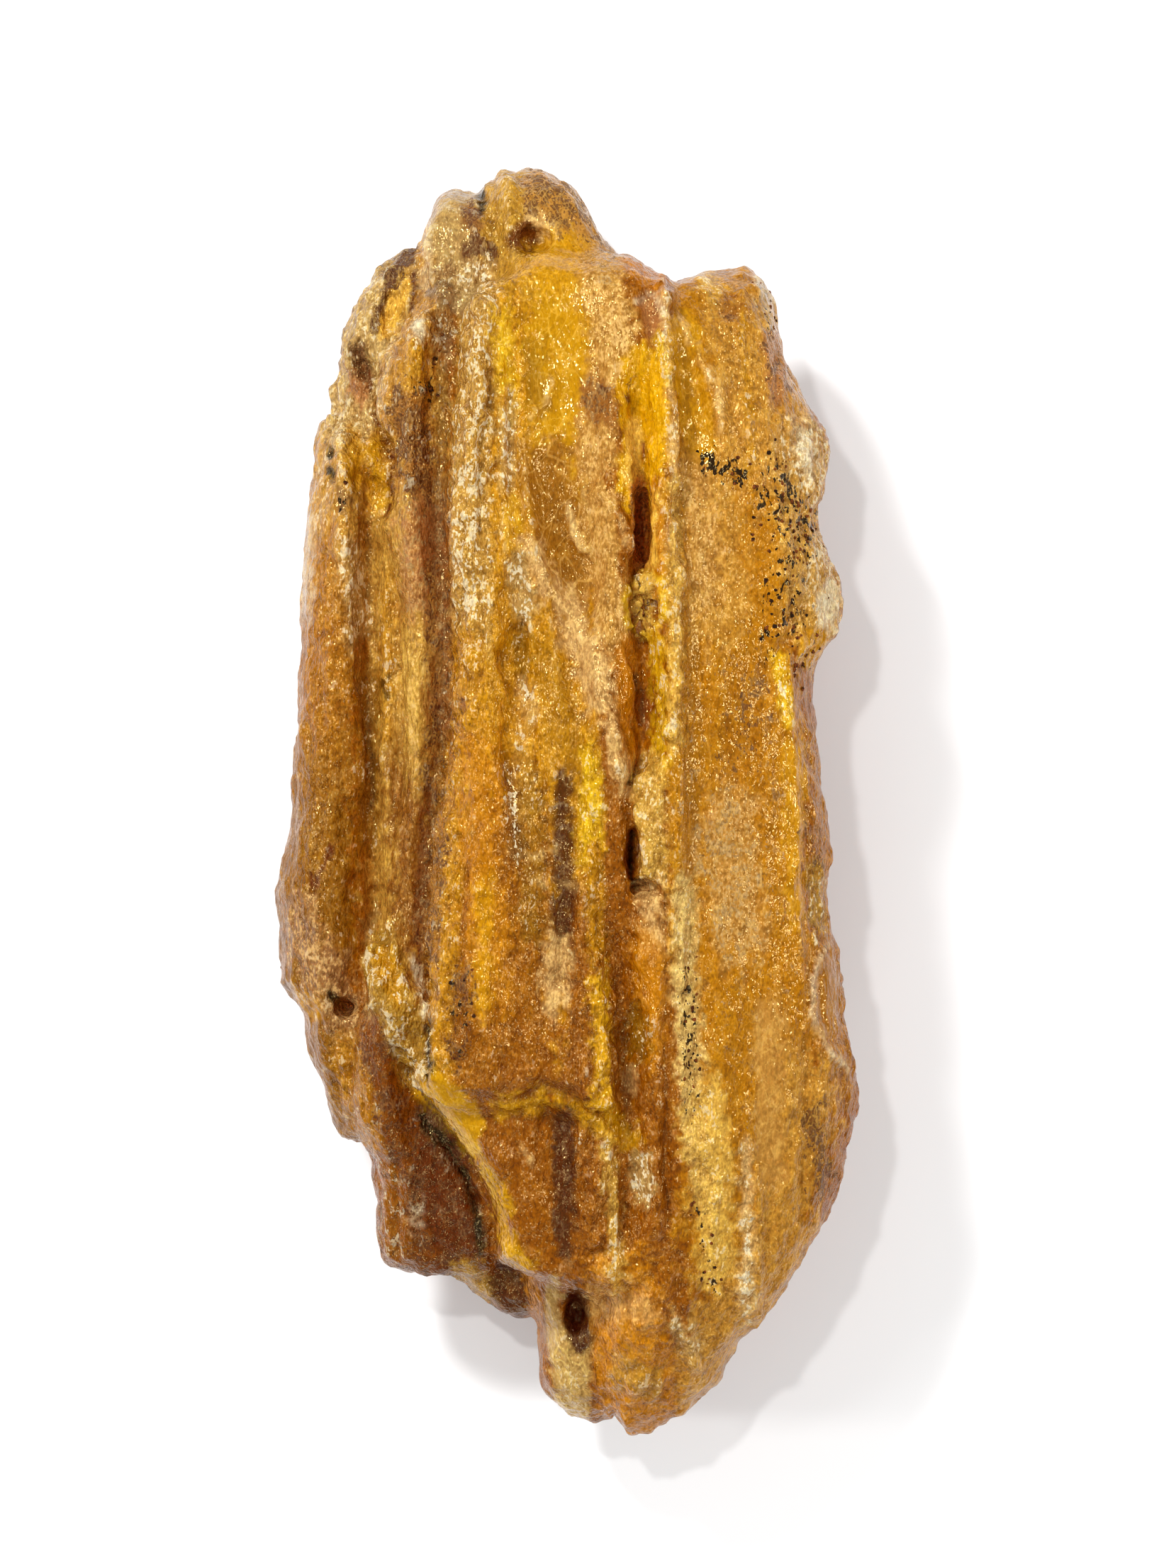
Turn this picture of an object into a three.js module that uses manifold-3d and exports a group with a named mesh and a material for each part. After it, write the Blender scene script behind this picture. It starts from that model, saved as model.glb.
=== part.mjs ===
// A raw lump of copal, the young amber of tropical trees. Resin ran down a trunk in
// overlapping flows, each flow set, and the next one ran over it. The lump is one piece:
// sheets and drips grown together, with ribs and grooves running down its length, a long
// crevice, a lip where one flow stopped, and a fairly flat side that set against bark.
//
// Millimetres, +Z up. The lump lies on its bark side, +Y is the end that was uppermost on
// the trunk, and the origin is under the middle of the lump, on the surface that it lies on.
import * as THREE from "three";
import { ImprovedNoise } from "three/addons/math/ImprovedNoise.js";
import { mergeVertices } from "three/addons/utils/BufferGeometryUtils.js";
import Module from "manifold-3d";

// ---- driving dimensions ----
const LENGTH = 140;
const WIDTH = 64.4;
const ROW_STEP = 4.8; // the widest gap between two rows of vertices down a flow
const HIDDEN_ROW_STEP = 9; // the same on the flows that make the sides and the bark side
const END_LENGTH = 3; // the length over which a flow's end rounds off
const END_SHARE = 0.45; // the share of its thickness that a flow keeps at its very end
const RAGGED = 1.3; // how far a flow's broken end wanders from a straight line
const RAGGED_REACH = 12; // how far up the flow that wandering is felt
const EDGE_WAVE = 0.5; // how far a flow's side edge wanders from its line
const RIM_WAVE = 1.1; // how far the side edge wanders up and down
const SKIN_WAVE = 0.7; // how high the low swells of a flow's face are
const WAVE_LENGTH = 6; // across a flow; the swells are WAVE_STRETCH times as long down it
const WAVE_STRETCH = 2.6;
const BARK_GROOVE_PITCH = 7.5;
const BARK_GROOVE_DEPTH = 0.9;
const TUCK = 5; // how far a lower flow reaches in under the one that lies over it
const POCKET_SIDES = 8;
const POCKET_RINGS = 6;

const wasm = await Module();
wasm.setup();
const perlin = new ImprovedNoise();

// ---- curves and reliefs ----

/** A smooth curve through [place, value] pairs, held past its ends. The place is mostly a y. */
function along(...pairs) {
  const sorted = pairs.toSorted((a, b) => a[0] - b[0]);
  const places = sorted.map(([place]) => place);
  const curve = new THREE.CubicInterpolant(places, sorted.map(([, value]) => value), 1, [0]);
  return (at) => curve.evaluate(THREE.MathUtils.clamp(at, places[0], places.at(-1)))[0];
}

/** A smooth wave of about -1 to 1 that is longer down the lump than across it. */
function wave(x, y, seed) {
  const u = x / WAVE_LENGTH;
  const v = y / (WAVE_LENGTH * WAVE_STRETCH);
  return perlin.noise(u, v, seed) + 0.5 * perlin.noise(2 * u, 2 * v, seed + 9);
}

/** 1 between two y values, falling to 0 over a soft length past each. */
function stretch(y, top, bottom, soft) {
  const rise = THREE.MathUtils.smoothstep(y, bottom - soft, bottom + soft);
  return rise * (1 - THREE.MathUtils.smoothstep(y, top - soft, top + soft));
}

/** A relief along a line x(y): a ridge where height is above 0, a groove below it. */
function crease({ line, top, bottom, width, height, soft = 4 }) {
  return (x, y) => {
    const off = (x - line(y)) / width;
    return height * Math.exp(-off * off) * stretch(y, top, bottom, soft);
  };
}

/** A face that falls away to the right of a line x(y), or rises where the slope is above 0. */
function tilt({ line, slope }) {
  return (x, y) => slope * Math.max(0, x - line(y));
}

const sum = (reliefs) => (x, y) => reliefs.reduce((total, f) => total + f(x, y), 0);
const flat = () => 0;

/** A face at a level that changes down the length, with its relief and its own low swells. */
function face(level, relief, seed) {
  return (x, y) => level(y) + relief(x, y) + SKIN_WAVE * wave(x, y, seed + 0.3);
}

/** A face that set against bark: long shallow grooves over low swells. */
function barkSide(level, seed) {
  return (x, y) => {
    const drift = 2 * perlin.noise(y / 22, seed, 3.5);
    const groove = Math.cos((2 * Math.PI * (x + drift)) / BARK_GROOVE_PITCH);
    return level + BARK_GROOVE_DEPTH * groove - 1.4 * wave(x, y, seed + 0.5);
  };
}

// ---- one flow of resin ----

/** The rows' own y values with more between them, so that no gap is over the step. */
function stationsOf(rows, step) {
  return rows.flatMap(([y], i) => {
    if (i === 0) return [y];
    const above = rows[i - 1][0];
    const parts = Math.ceil((above - y) / step);
    return Array.from({ length: parts }, (_, k) => above + ((y - above) * (k + 1)) / parts);
  });
}

/** Evenly spaced places from -1 to 1, drawn in towards both ends, where a flow turns over. */
function acrossPlaces(count) {
  return Array.from({ length: count + 1 }, (_, i) => {
    const even = -1 + (2 * i) / count;
    return 0.6 * even - 0.4 * Math.cos((Math.PI * i) / count);
  });
}

/**
 * A closed flow of resin. rows are [y, left edge, right edge] from its upper end to its
 * lower end. front(x, y) and back(x, y) are the heights of its faces, rim(y) is the height
 * of its edge, roundness says how blunt the edge is, and lip(x) is how far the lower end
 * departs from a straight line.
 */
function flow(made) {
  const { rows, front, back, rim, roundness = 5, columns, backColumns, seed, lip } = made;
  const left = along(...rows.map(([y, a]) => [y, a]));
  const right = along(...rows.map(([y, , b]) => [y, b]));
  const ys = stationsOf(rows, made.rowStep ?? ROW_STEP);
  const upper = ys[0];
  const lower = ys.at(-1);
  const lowerEnd = lip ?? ((x) => RAGGED * wave(1.4 * x, 0, seed + 3));
  const upperEnd = (x) => RAGGED * wave(1.4 * x, 50, seed + 6);
  const ended = (x, y) => {
    const down = 1 - THREE.MathUtils.smoothstep(y, lower, lower + RAGGED_REACH);
    const up = THREE.MathUtils.smoothstep(y, upper - RAGGED_REACH, upper);
    return y + down * lowerEnd(x) + up * upperEnd(x);
  };
  const faces = [
    { places: acrossPlaces(columns), height: front },
    { places: acrossPlaces(backColumns).reverse(), height: back },
  ];

  const positions = [];
  for (const y of ys) {
    const nearEnd = Math.min((upper - y) / END_LENGTH, (y - lower) / END_LENGTH, 1);
    const swell = END_SHARE + (1 - END_SHARE) * Math.sqrt(1 - (1 - nearEnd) ** 2);
    const a = left(y) + EDGE_WAVE * wave(seed, y * 5, seed);
    const b = right(y) + EDGE_WAVE * wave(seed + 4, y * 5, seed);
    for (const { places, height } of faces) {
      for (const place of places.slice(0, -1)) {
        const x = (a + b) / 2 + ((b - a) / 2) * place;
        const level = ended(x, y);
        const edge = rim(y) + RIM_WAVE * wave(x, y * 2, seed + 1);
        const bulge = Math.sqrt(1 - Math.abs(place) ** roundness) * swell;
        positions.push(x, level, edge + (height(x, level) - edge) * bulge);
      }
    }
  }

  const ring = columns + backColumns;
  const indices = [];
  for (let row = 0; row + 1 < ys.length; row++) {
    for (let i = 0; i < ring; i++) {
      const [p, q] = [row * ring + i, row * ring + ((i + 1) % ring)];
      indices.push(p, p + ring, q, q, p + ring, q + ring);
    }
  }
  for (const row of [0, ys.length - 1]) {
    const centre = positions.length / 3;
    const middle = (left(ys[row]) + right(ys[row])) / 2;
    positions.push(middle, ended(middle, ys[row]), rim(ys[row]));
    for (let i = 0; i < ring; i++) {
      const [p, q] = [row * ring + i, row * ring + ((i + 1) % ring)];
      indices.push(...(row === 0 ? [p, q, centre] : [q, p, centre]));
    }
  }

  const geometry = new THREE.BufferGeometry();
  geometry.setAttribute("position", new THREE.Float32BufferAttribute(positions, 3));
  geometry.setIndex(indices);
  return geometry;
}

/** Rows of a flow whose right side runs in under the flow that starts at a line x(y). */
function tuckedUnder(line, leftRows) {
  return leftRows.map(([y, left]) => [y, left, Math.max(line(y) + TUCK, left + TUCK)]);
}

// ---- the outlines ----

const frontRows = [
  [60.6, -4.4, 5.2],
  [59.8, -6.0, 6.9],
  [58.0, -6.8, 10.5],
  [56.2, -9.6, 12.6],
  [54.4, -11.3, 13.4],
  [50.0, -11.8, 14.0],
  [42.0, -12.2, 14.0],
  [34.3, -13.2, 14.0],
  [30.2, -13.0, 14.2],
  [24.5, -12.6, 14.6],
  [16.4, -12.0, 15.0],
  [8.6, -12.3, 15.2],
  [0.0, -13.2, 15.2],
  [-9.9, -14.6, 15.0],
  [-21.0, -14.5, 14.6],
  [-27.3, -15.2, 14.0],
  [-31.0, -16.0, 13.8],
  [-33.8, -14.5, 13.4],
  [-37.9, -11.1, 13.0],
  [-42.0, -9.0, 12.6],
  [-46.5, -7.6, 12.0],
  [-50.3, -7.8, 11.4],
  [-51.6, -5.0, 10.8],
  [-53.2, -1.0, 9.8],
  [-54.6, 2.0, 8.4],
];
const rightRows = [
  [58.6, 15.0, 19.6],
  [57.8, 13.4, 21.4],
  [56.4, 10.6, 22.7],
  [52.0, 8.0, 23.4],
  [48.4, 8.0, 24.3],
  [45.2, 8.0, 25.6],
  [41.4, 8.0, 28.4],
  [39.0, 8.0, 29.1],
  [35.0, 8.0, 28.7],
  [31.0, 8.0, 27.4],
  [27.6, 8.0, 28.7],
  [24.5, 8.0, 30.2],
  [21.5, 8.0, 30.5],
  [18.6, 8.0, 29.8],
  [14.6, 8.0, 27.2],
  [11.6, 8.0, 27.0],
  [5.0, 8.0, 27.9],
  [-4.9, 8.0, 29.2],
  [-13.2, 8.0, 29.0],
  [-15.2, 8.0, 29.8],
  [-24.0, 8.0, 30.9],
  [-33.6, 7.0, 32.1],
  [-38.0, 6.0, 31.3],
  [-43.5, 5.4, 29.7],
  [-48.4, 5.0, 27.4],
  [-54.0, 3.4, 23.9],
  [-57.0, 2.6, 21.8],
  [-59.2, 3.0, 19.3],
  [-63.8, 4.4, 17.2],
  [-67.4, 5.4, 13.1],
  [-68.8, 6.2, 11.3],
  [-69.7, 7.0, 9.4],
];
const terraceLeft = [
  [43.8, -24.6],
  [41.6, -27.0],
  [39.6, -28.0],
  [34.3, -28.3],
  [30.0, -28.9],
  [22.0, -29.3],
  [9.0, -29.8],
  [-1.2, -30.5],
  [-5.2, -31.0],
  [-8.4, -31.9],
  [-13.9, -31.9],
  [-16.4, -32.1],
  [-19.6, -31.5],
  [-21.8, -30.2],
  [-23.4, -28.8],
  [-25.4, -29.2],
  [-28.4, -28.4],
  [-32.3, -26.6],
  [-35.9, -25.9],
  [-37.2, -24.8],
];
const middleLeft = [
  [59.6, -10.6],
  [58.6, -12.4],
  [56.8, -15.6],
  [54.7, -17.3],
  [51.2, -18.8],
  [48.6, -21.0],
  [46.2, -21.7],
  [42.0, -20.9],
  [37.5, -19.4],
  [31.0, -20.2],
  [22.0, -19.0],
  [0.0, -18.7],
  [-12.0, -19.8],
  [-22.0, -22.6],
  [-33.0, -23.8],
  [-37.6, -22.9],
  [-39.6, -21.3],
  [-46.0, -21.2],
  [-50.4, -20.8],
  [-51.6, -19.8],
  [-52.2, -18.4],
];

// ---- the lines that the relief follows ----

const frontLeft = along(...frontRows.map(([y, a]) => [y, a]));
const middleEdge = along(...middleLeft);
const rimRidgeLine = (y) => frontLeft(y) + 2.6;
const cliffFootLine = (y) => frontLeft(y) - 0.8;
const glassGrooveLine = along([54, -7.6], [40, -6.6], [26, -6.2], [10, -5.0], [-6, -5.4]);
const troughLine = along([58, -1.5], [41, -0.7], [26, 0.2], [14, -0.6]);
const milkRidgeLine = along([48, 5.6], [36, 5.2], [22, 4.8], [11, 4.0], [2, 6.2], [-6, 5.4]);
const creviceLine = along([50, 7.6], [40, 7.8], [26, 8.2], [14, 8.4], [2, 8.0], [-8, 8.6]);
const goldRidgeLine = along(
  [57, 11.4], [48, 11.0], [33, 10.8], [12, 11.6], [-9, 11.8], [-29, 10.4], [-48, 10.0],
);
const lowerGrooveLine = along([-12, 5.4], [-28, 6.2], [-46, 6.6]);
const innerColumnLine = along([6, 0.2], [-8, -0.4], [-24, -0.8], [-36, -1.0], [-48, -0.6]);
const lowerRidgeLine = along([4, -8.6], [-16, -9.6], [-30, -10.6]);
const panelCreaseLine = along([16, 25.4], [4, 26.2], [-12, 26.0], [-28, 26.6], [-40, 25.4]);
const panelRibLine = along([50, 17.4], [20, 18.8], [-10, 18.2], [-50, 15.4]);
const terraceRibLine = along([40, -24.5], [20, -25.6], [0, -26.2], [-20, -26.4], [-34, -24.6]);
const terraceGrooveLine = along([38, -21.6], [20, -21.8], [0, -21.6], [-14, -22.2]);
const ledgeLine = along(
  [-17, -31.0], [-13, -33.6], [-8, -33.7], [-2, -32.3], [1.5, -33.8], [4.8, -36.2], [7, -36.4],
);

// ---- the faces ----

const frontLevel = along(
  [61, 27.5], [56, 31], [45, 34], [20, 36], [0, 36.4], [-22, 34.6], [-34, 33.6], [-44, 32.8],
  [-50, 31], [-55, 28.5],
);
const frontRelief = sum([
  tilt({ line: () => 11, slope: -0.75 }),
  crease({ line: rimRidgeLine, top: 54, bottom: -30, width: 2.0, height: 1.0 }),
  crease({ line: glassGrooveLine, top: 52, bottom: -8, width: 1.7, height: -2.0 }),
  crease({ line: troughLine, top: 54, bottom: 12, width: 4.2, height: -2.6 }),
  crease({ line: milkRidgeLine, top: 46, bottom: -6, width: 1.7, height: 1.1 }),
  crease({ line: creviceLine, top: 46, bottom: -8, width: 1.5, height: -3.6 }),
  crease({ line: goldRidgeLine, top: 56, bottom: -50, width: 1.4, height: 1.4 }),
  crease({ line: lowerGrooveLine, top: -14, bottom: -48, width: 1.7, height: -2.0 }),
  crease({ line: innerColumnLine, top: -30, bottom: -47, width: 1.6, height: -1.8 }),
]);

const lipLevel = along([10, 32.5], [3, 35.4], [-8, 36.8], [-22, 37.0], [-34, 36.3], [-37, 35.8]);
const lipRelief = sum([
  crease({ line: lowerRidgeLine, top: 0, bottom: -28, width: 2.4, height: 0.9 }),
  crease({ line: innerColumnLine, top: 6, bottom: -24, width: 1.6, height: -1.9 }),
  tilt({ line: () => 3.2, slope: -0.7 }),
]);

const rightLevel = along(
  [59, 25], [55, 28.5], [45, 31.4], [20, 33.2], [0, 34], [-28, 33.8], [-44, 31.5], [-56, 27.5],
  [-64, 23], [-70, 18.5],
);
const rightRelief = sum([
  tilt({ line: () => 13, slope: -0.22 }),
  tilt({ line: panelCreaseLine, slope: -0.5 }),
  crease({ line: goldRidgeLine, top: 52, bottom: -52, width: 1.6, height: 1.2 }),
  crease({ line: panelCreaseLine, top: 20, bottom: -36, width: 1.1, height: -1.2 }),
  crease({ line: panelRibLine, top: 44, bottom: -50, width: 2.4, height: 0.7 }),
  crease({ line: along([46, 21], [26, 23]), top: 44, bottom: 20, width: 2.2, height: 1.3 }),
  crease({ line: along([-50, 9], [-66, 7.5]), top: -54, bottom: -66, width: 3.2, height: 1.8 }),
]);

const terraceLevel = along([44, 16], [38, 20], [20, 22.4], [0, 23], [-20, 22], [-37, 16.5]);
const terraceRelief = sum([
  crease({ line: terraceRibLine, top: 40, bottom: -34, width: 2.4, height: 1.8 }),
  crease({ line: terraceGrooveLine, top: 36, bottom: -16, width: 1.4, height: -1.8 }),
]);

const middleLevel = along(
  [60, 21.5], [54, 25.2], [40, 27.6], [10, 28.2], [-20, 26.6], [-34, 23.8], [-44, 21], [-52, 18],
);
const middleRelief = sum([
  crease({ line: cliffFootLine, top: 56, bottom: -34, width: 2.2, height: -1.6 }),
  crease({ line: along([-24, -20.6], [-36, -20.0]), top: -22, bottom: -38, width: 1.8, height: 1.2 }),
  crease({ line: along([-38, -16.5], [-50, -17.0]), top: -38, bottom: -52, width: 1.4, height: -1.2 }),
  crease({ line: along([40, -16.4], [0, -16.0]), top: 36, bottom: -4, width: 1.2, height: 0.8 }),
]);

const coreLevel = along([56, 18.5], [44, 20], [34, 21.5], [-34, 21.5], [-44, 18], [-62, 15]);

const flows = {
  front: {
    rows: frontRows,
    front: face(frontLevel, frontRelief, 1),
    back: barkSide(13, 1),
    rim: along([61, 20], [50, 25], [0, 26.5], [-32, 26], [-55, 20]),
    roundness: 8,
    columns: 27,
    backColumns: 3,
    seed: 1,
  },
  lip: {
    rows: [
      [10.0, -10.0, 3.0], [4.0, -11.6, 4.4], [-4.0, -13.4, 5.0], [-12.0, -14.8, 5.2],
      [-20.0, -14.7, 5.4], [-27.0, -15.4, 5.8], [-31.0, -16.4, 6.2], [-34.0, -17.0, 6.6],
    ],
    front: face(lipLevel, lipRelief, 1),
    back: () => 28,
    rim: along([10, 30], [-20, 31], [-34, 32]),
    roundness: 6,
    columns: 18,
    backColumns: 2,
    seed: 13,
    lip: (x) => ledgeLine(x) + 34,
  },
  flap: {
    rows: [
      [5.0, 8.6, 10.2], [3.0, 7.8, 11.0], [-1.0, 7.2, 11.4], [-5.0, 7.2, 11.2], [-8.6, 7.6, 10.2],
    ],
    front: face(along([5, 36.2], [-2, 37.6], [-8.6, 37.0]), flat, 14),
    back: () => 31,
    rim: () => 35.4,
    roundness: 3,
    columns: 7,
    backColumns: 2,
    seed: 14,
  },
  right: {
    rows: rightRows,
    front: face(rightLevel, rightRelief, 2),
    back: barkSide(12, 2),
    rim: along([59, 16], [40, 21], [0, 23], [-35, 23], [-60, 17], [-70, 14]),
    roundness: 6,
    columns: 15,
    backColumns: 4,
    seed: 2,
  },
  rightUnder: {
    rows: [
      [53.0, 8.0, 20.0], [47.0, 6.0, 23.2], [38.0, 6.0, 26.2], [28.0, 6.0, 25.6],
      [20.0, 6.0, 27.0], [12.0, 6.0, 24.8], [-4.0, 6.0, 26.4], [-20.0, 6.0, 27.4],
      [-34.0, 4.0, 29.0], [-44.0, 2.0, 25.4], [-53.0, 1.0, 19.8], [-60.0, 1.0, 14.8],
      [-65.0, 3.0, 11.0],
    ],
    front: () => 20,
    back: barkSide(3, 12),
    rim: along([53, 9], [0, 11], [-34, 9], [-65, 9]),
    columns: 4,
    backColumns: 6,
    rowStep: HIDDEN_ROW_STEP,
    seed: 12,
  },
  terrace: {
    rows: tuckedUnder(middleEdge, terraceLeft),
    front: face(terraceLevel, terraceRelief, 3),
    back: barkSide(7, 3),
    rim: along([44, 12], [0, 15], [-37, 12]),
    roundness: 4,
    columns: 12,
    backColumns: 4,
    seed: 3,
  },
  middle: {
    rows: tuckedUnder(frontLeft, middleLeft),
    front: face(middleLevel, middleRelief, 4),
    back: barkSide(5, 4),
    rim: along([60, 13], [0, 18], [-52, 12]),
    roundness: 5,
    columns: 12,
    backColumns: 3,
    seed: 4,
  },
  upperLobe: {
    rows: [
      [61.2, -18.2, -13.0], [60.4, -19.4, -10.0], [58.4, -21.2, -8.0], [56.4, -22.6, -7.0],
      [54.6, -23.7, -6.0], [53.2, -24.7, -6.0], [48.0, -25.7, -6.0], [44.0, -26.0, -6.0],
      [39.0, -25.0, -6.0], [34.0, -22.0, -9.0],
    ],
    front: face(along([61, 15], [55, 18], [34, 18]), flat, 5),
    back: barkSide(4, 5),
    rim: () => 10,
    roundness: 4,
    columns: 8,
    backColumns: 4,
    seed: 5,
  },
  upperBlock: {
    rows: [
      [67.2, -14.3, -9.6], [66.2, -14.7, -9.0], [64.8, -15.0, -8.0], [63.2, -15.7, -7.0],
      [57.0, -15.9, -5.0], [50.0, -14.0, -5.0],
    ],
    front: face(along([67, 19], [64, 21.6], [50, 22.6]), flat, 6),
    back: barkSide(6, 6),
    rim: () => 13,
    roundness: 9,
    columns: 7,
    backColumns: 4,
    seed: 6,
  },
  crownNub: {
    rows: [
      [69.7, -6.0, -3.4], [69.2, -7.4, -1.4], [67.8, -9.8, 0.6], [65.8, -10.5, 2.1],
      [63.0, -10.6, 3.5], [61.4, -10.4, 4.8], [59.6, -10.0, 6.6], [54.0, -8.0, 9.0],
    ],
    front: face(
      along([70, 19], [66, 22.6], [60, 25], [54, 26]),
      crease({ line: () => -8.2, top: 68, bottom: 58, width: 1.1, height: -2.2 }),
      7,
    ),
    back: barkSide(6, 7),
    rim: () => 14,
    columns: 12,
    backColumns: 4,
    seed: 7,
  },
  foot: {
    rows: [
      [-46.0, -7.0, 8.0], [-53.0, -4.9, 10.0], [-56.2, -4.2, 12.0], [-57.8, -3.2, 12.0],
      [-62.0, -3.0, 11.0], [-64.8, -2.9, 10.0], [-66.4, -1.7, 9.0], [-67.9, 0.4, 7.0],
    ],
    front: face(along([-46, 24], [-58, 22], [-64, 20], [-68, 17]), flat, 8),
    back: barkSide(5, 8),
    rim: () => 11,
    columns: 11,
    backColumns: 4,
    seed: 8,
  },
  lowerBack: {
    rows: [
      [-40.0, -14.0, 4.0], [-50.0, -12.8, 4.0], [-52.6, -12.1, 3.0], [-54.4, -10.4, 2.0],
      [-56.2, -7.0, 0.0], [-57.4, -4.4, -1.0],
    ],
    front: face(along([-40, 17], [-57, 14.5]), flat, 9),
    back: barkSide(3, 9),
    rim: () => 9,
    columns: 8,
    backColumns: 5,
    seed: 9,
  },
  chip: {
    rows: [
      [-15.6, -21.4, -19.0], [-16.4, -22.2, -17.8], [-18.4, -22.3, -17.0], [-21.4, -21.9, -15.2],
      [-23.4, -21.4, -14.6], [-25.6, -19.6, -14.8], [-27.4, -17.8, -15.2], [-29.6, -16.9, -15.8],
    ],
    front: face(along([-16, 26.4], [-22, 28.4], [-29, 26.6]), flat, 10),
    back: () => 20,
    rim: () => 25,
    roundness: 4,
    columns: 8,
    backColumns: 4,
    seed: 10,
  },
  barkSkin: {
    rows: [
      [56.0, -16.0, 10.0], [50.0, -21.0, 19.0], [40.0, -23.0, 23.0], [20.0, -25.0, 24.4],
      [0.0, -26.0, 23.4], [-20.0, -26.5, 24.4], [-33.0, -21.0, 25.4], [-45.0, -16.0, 22.4],
      [-54.0, -6.0, 17.0], [-62.0, 0.0, 12.4],
    ],
    front: (x, y) => coreLevel(y),
    back: barkSide(-0.4, 11),
    rim: () => 7.5,
    roundness: 3,
    columns: 4,
    backColumns: 15,
    rowStep: HIDDEN_ROW_STEP,
    seed: 11,
  },
};

// Small hollows where bark fell out or a bubble broke, and two shell-like chips at the edge:
// centre, then half sizes.
const pockets = {
  underTopEdge: { at: [-3.6, 61.6, 25.4], half: [2.4, 1.7, 3.6] },
  besideLobe: { at: [-19.2, 54.8, 19.4], half: [1.5, 3.6, 3.0] },
  lobeHole: { at: [-22.6, 47.6, 18.6], half: [1.3, 2.0, 2.6] },
  barkSlot: { at: [8.2, 30.0, 33.0], half: [1.3, 4.8, 6.5] },
  bubble: { at: [8.4, 21.2, 35.2], half: [2.3, 3.6, 3.6] },
  crackBesideFlap: { at: [7.2, -5.6, 35.6], half: [0.9, 3.8, 5.0] },
  crackUnderFlap: { at: [8.4, -9.6, 36.0], half: [2.2, 0.9, 3.6] },
  footHollow: { at: [1.1, -56.4, 26.0], half: [1.8, 3.0, 8.0] },
  notchHole: { at: [-24.2, -22.6, 21.6], half: [1.4, 1.2, 4.0] },
  edgeShell: { at: [32.4, -22.0, 34.6], half: [4.6, 7.2, 4.6] },
  bumpShell: { at: [32.0, 21.6, 32.6], half: [4.0, 3.4, 3.8] },
};

// ---- joining ----

/** A closed three.js geometry as a manifold solid. */
function solidOf(geometry) {
  const bare = new THREE.BufferGeometry();
  bare.setAttribute("position", geometry.getAttribute("position"));
  bare.setIndex(geometry.getIndex());
  const merged = mergeVertices(bare, 1e-4);
  return new wasm.Manifold(
    new wasm.Mesh({
      numProp: 3,
      vertProperties: merged.getAttribute("position").array,
      triVerts: new Uint32Array(merged.getIndex().array),
    }),
  );
}

/** A manifold solid as a three.js geometry. */
function geometryOf(solid) {
  const { vertProperties, triVerts } = solid.getMesh();
  const geometry = new THREE.BufferGeometry();
  geometry.setAttribute("position", new THREE.BufferAttribute(vertProperties, 3));
  geometry.setIndex(new THREE.BufferAttribute(triVerts, 1));
  return geometry;
}

/** The space that a pocket takes out of the lump. */
function pocketSpace({ at, half }) {
  const ball = new THREE.SphereGeometry(1, POCKET_SIDES, POCKET_RINGS);
  ball.scale(...half);
  ball.translate(...at);
  return solidOf(ball);
}

/** Everything below the surface that the lump lies on. */
function belowRest() {
  const depth = 20;
  const block = new THREE.BoxGeometry(2 * WIDTH, 2 * LENGTH, depth);
  block.translate(0, 0, -depth / 2);
  return solidOf(block);
}

const joined = Object.values(flows)
  .map((made) => solidOf(flow(made)))
  .reduce((whole, next) => whole.add(next));
const hollowed = Object.values(pockets)
  .map(pocketSpace)
  .reduce((whole, space) => whole.subtract(space), joined);
const lumpGeometry = geometryOf(hollowed.subtract(belowRest()));

const resin = new THREE.MeshStandardMaterial({ color: 0xb97d22, roughness: 0.35, metalness: 0 });
const lump = new THREE.Mesh(lumpGeometry, resin);
lump.name = "copal_lump";

const part = new THREE.Group();
part.add(lump);
export default part;
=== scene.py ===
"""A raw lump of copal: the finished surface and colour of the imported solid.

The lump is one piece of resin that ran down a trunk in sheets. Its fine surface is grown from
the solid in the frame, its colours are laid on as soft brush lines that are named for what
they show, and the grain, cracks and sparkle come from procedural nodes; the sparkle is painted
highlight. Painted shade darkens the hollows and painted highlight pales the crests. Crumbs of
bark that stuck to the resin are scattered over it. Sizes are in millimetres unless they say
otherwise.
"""

from __future__ import annotations

import logging
from dataclasses import dataclass, field
from enum import Enum

import bpy
import numpy as np
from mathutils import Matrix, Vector

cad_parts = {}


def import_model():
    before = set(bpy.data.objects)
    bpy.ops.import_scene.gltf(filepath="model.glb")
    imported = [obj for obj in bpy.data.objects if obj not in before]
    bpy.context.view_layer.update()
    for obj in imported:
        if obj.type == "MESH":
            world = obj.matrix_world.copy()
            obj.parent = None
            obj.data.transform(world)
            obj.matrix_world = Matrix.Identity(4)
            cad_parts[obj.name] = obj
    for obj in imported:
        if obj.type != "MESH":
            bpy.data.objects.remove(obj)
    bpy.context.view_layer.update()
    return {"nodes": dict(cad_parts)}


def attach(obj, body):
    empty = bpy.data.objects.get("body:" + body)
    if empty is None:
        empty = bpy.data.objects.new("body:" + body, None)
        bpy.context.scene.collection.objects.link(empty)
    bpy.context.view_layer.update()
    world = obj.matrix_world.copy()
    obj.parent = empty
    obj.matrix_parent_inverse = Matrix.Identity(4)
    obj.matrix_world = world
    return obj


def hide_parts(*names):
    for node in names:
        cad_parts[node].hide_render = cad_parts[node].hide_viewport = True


LOG = logging.getLogger("copal")
MM = 0.001
LUMP_NODE = "copal_lump"
BODY = "root"
TINT = "tint"
TINY = 1e-9
MIDDLE = 0.5

Line = tuple[tuple[float, float], ...]
Triple = tuple[float, float, float]
Window = tuple[float, float]
Inputs = dict[str | int, object]


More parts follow.
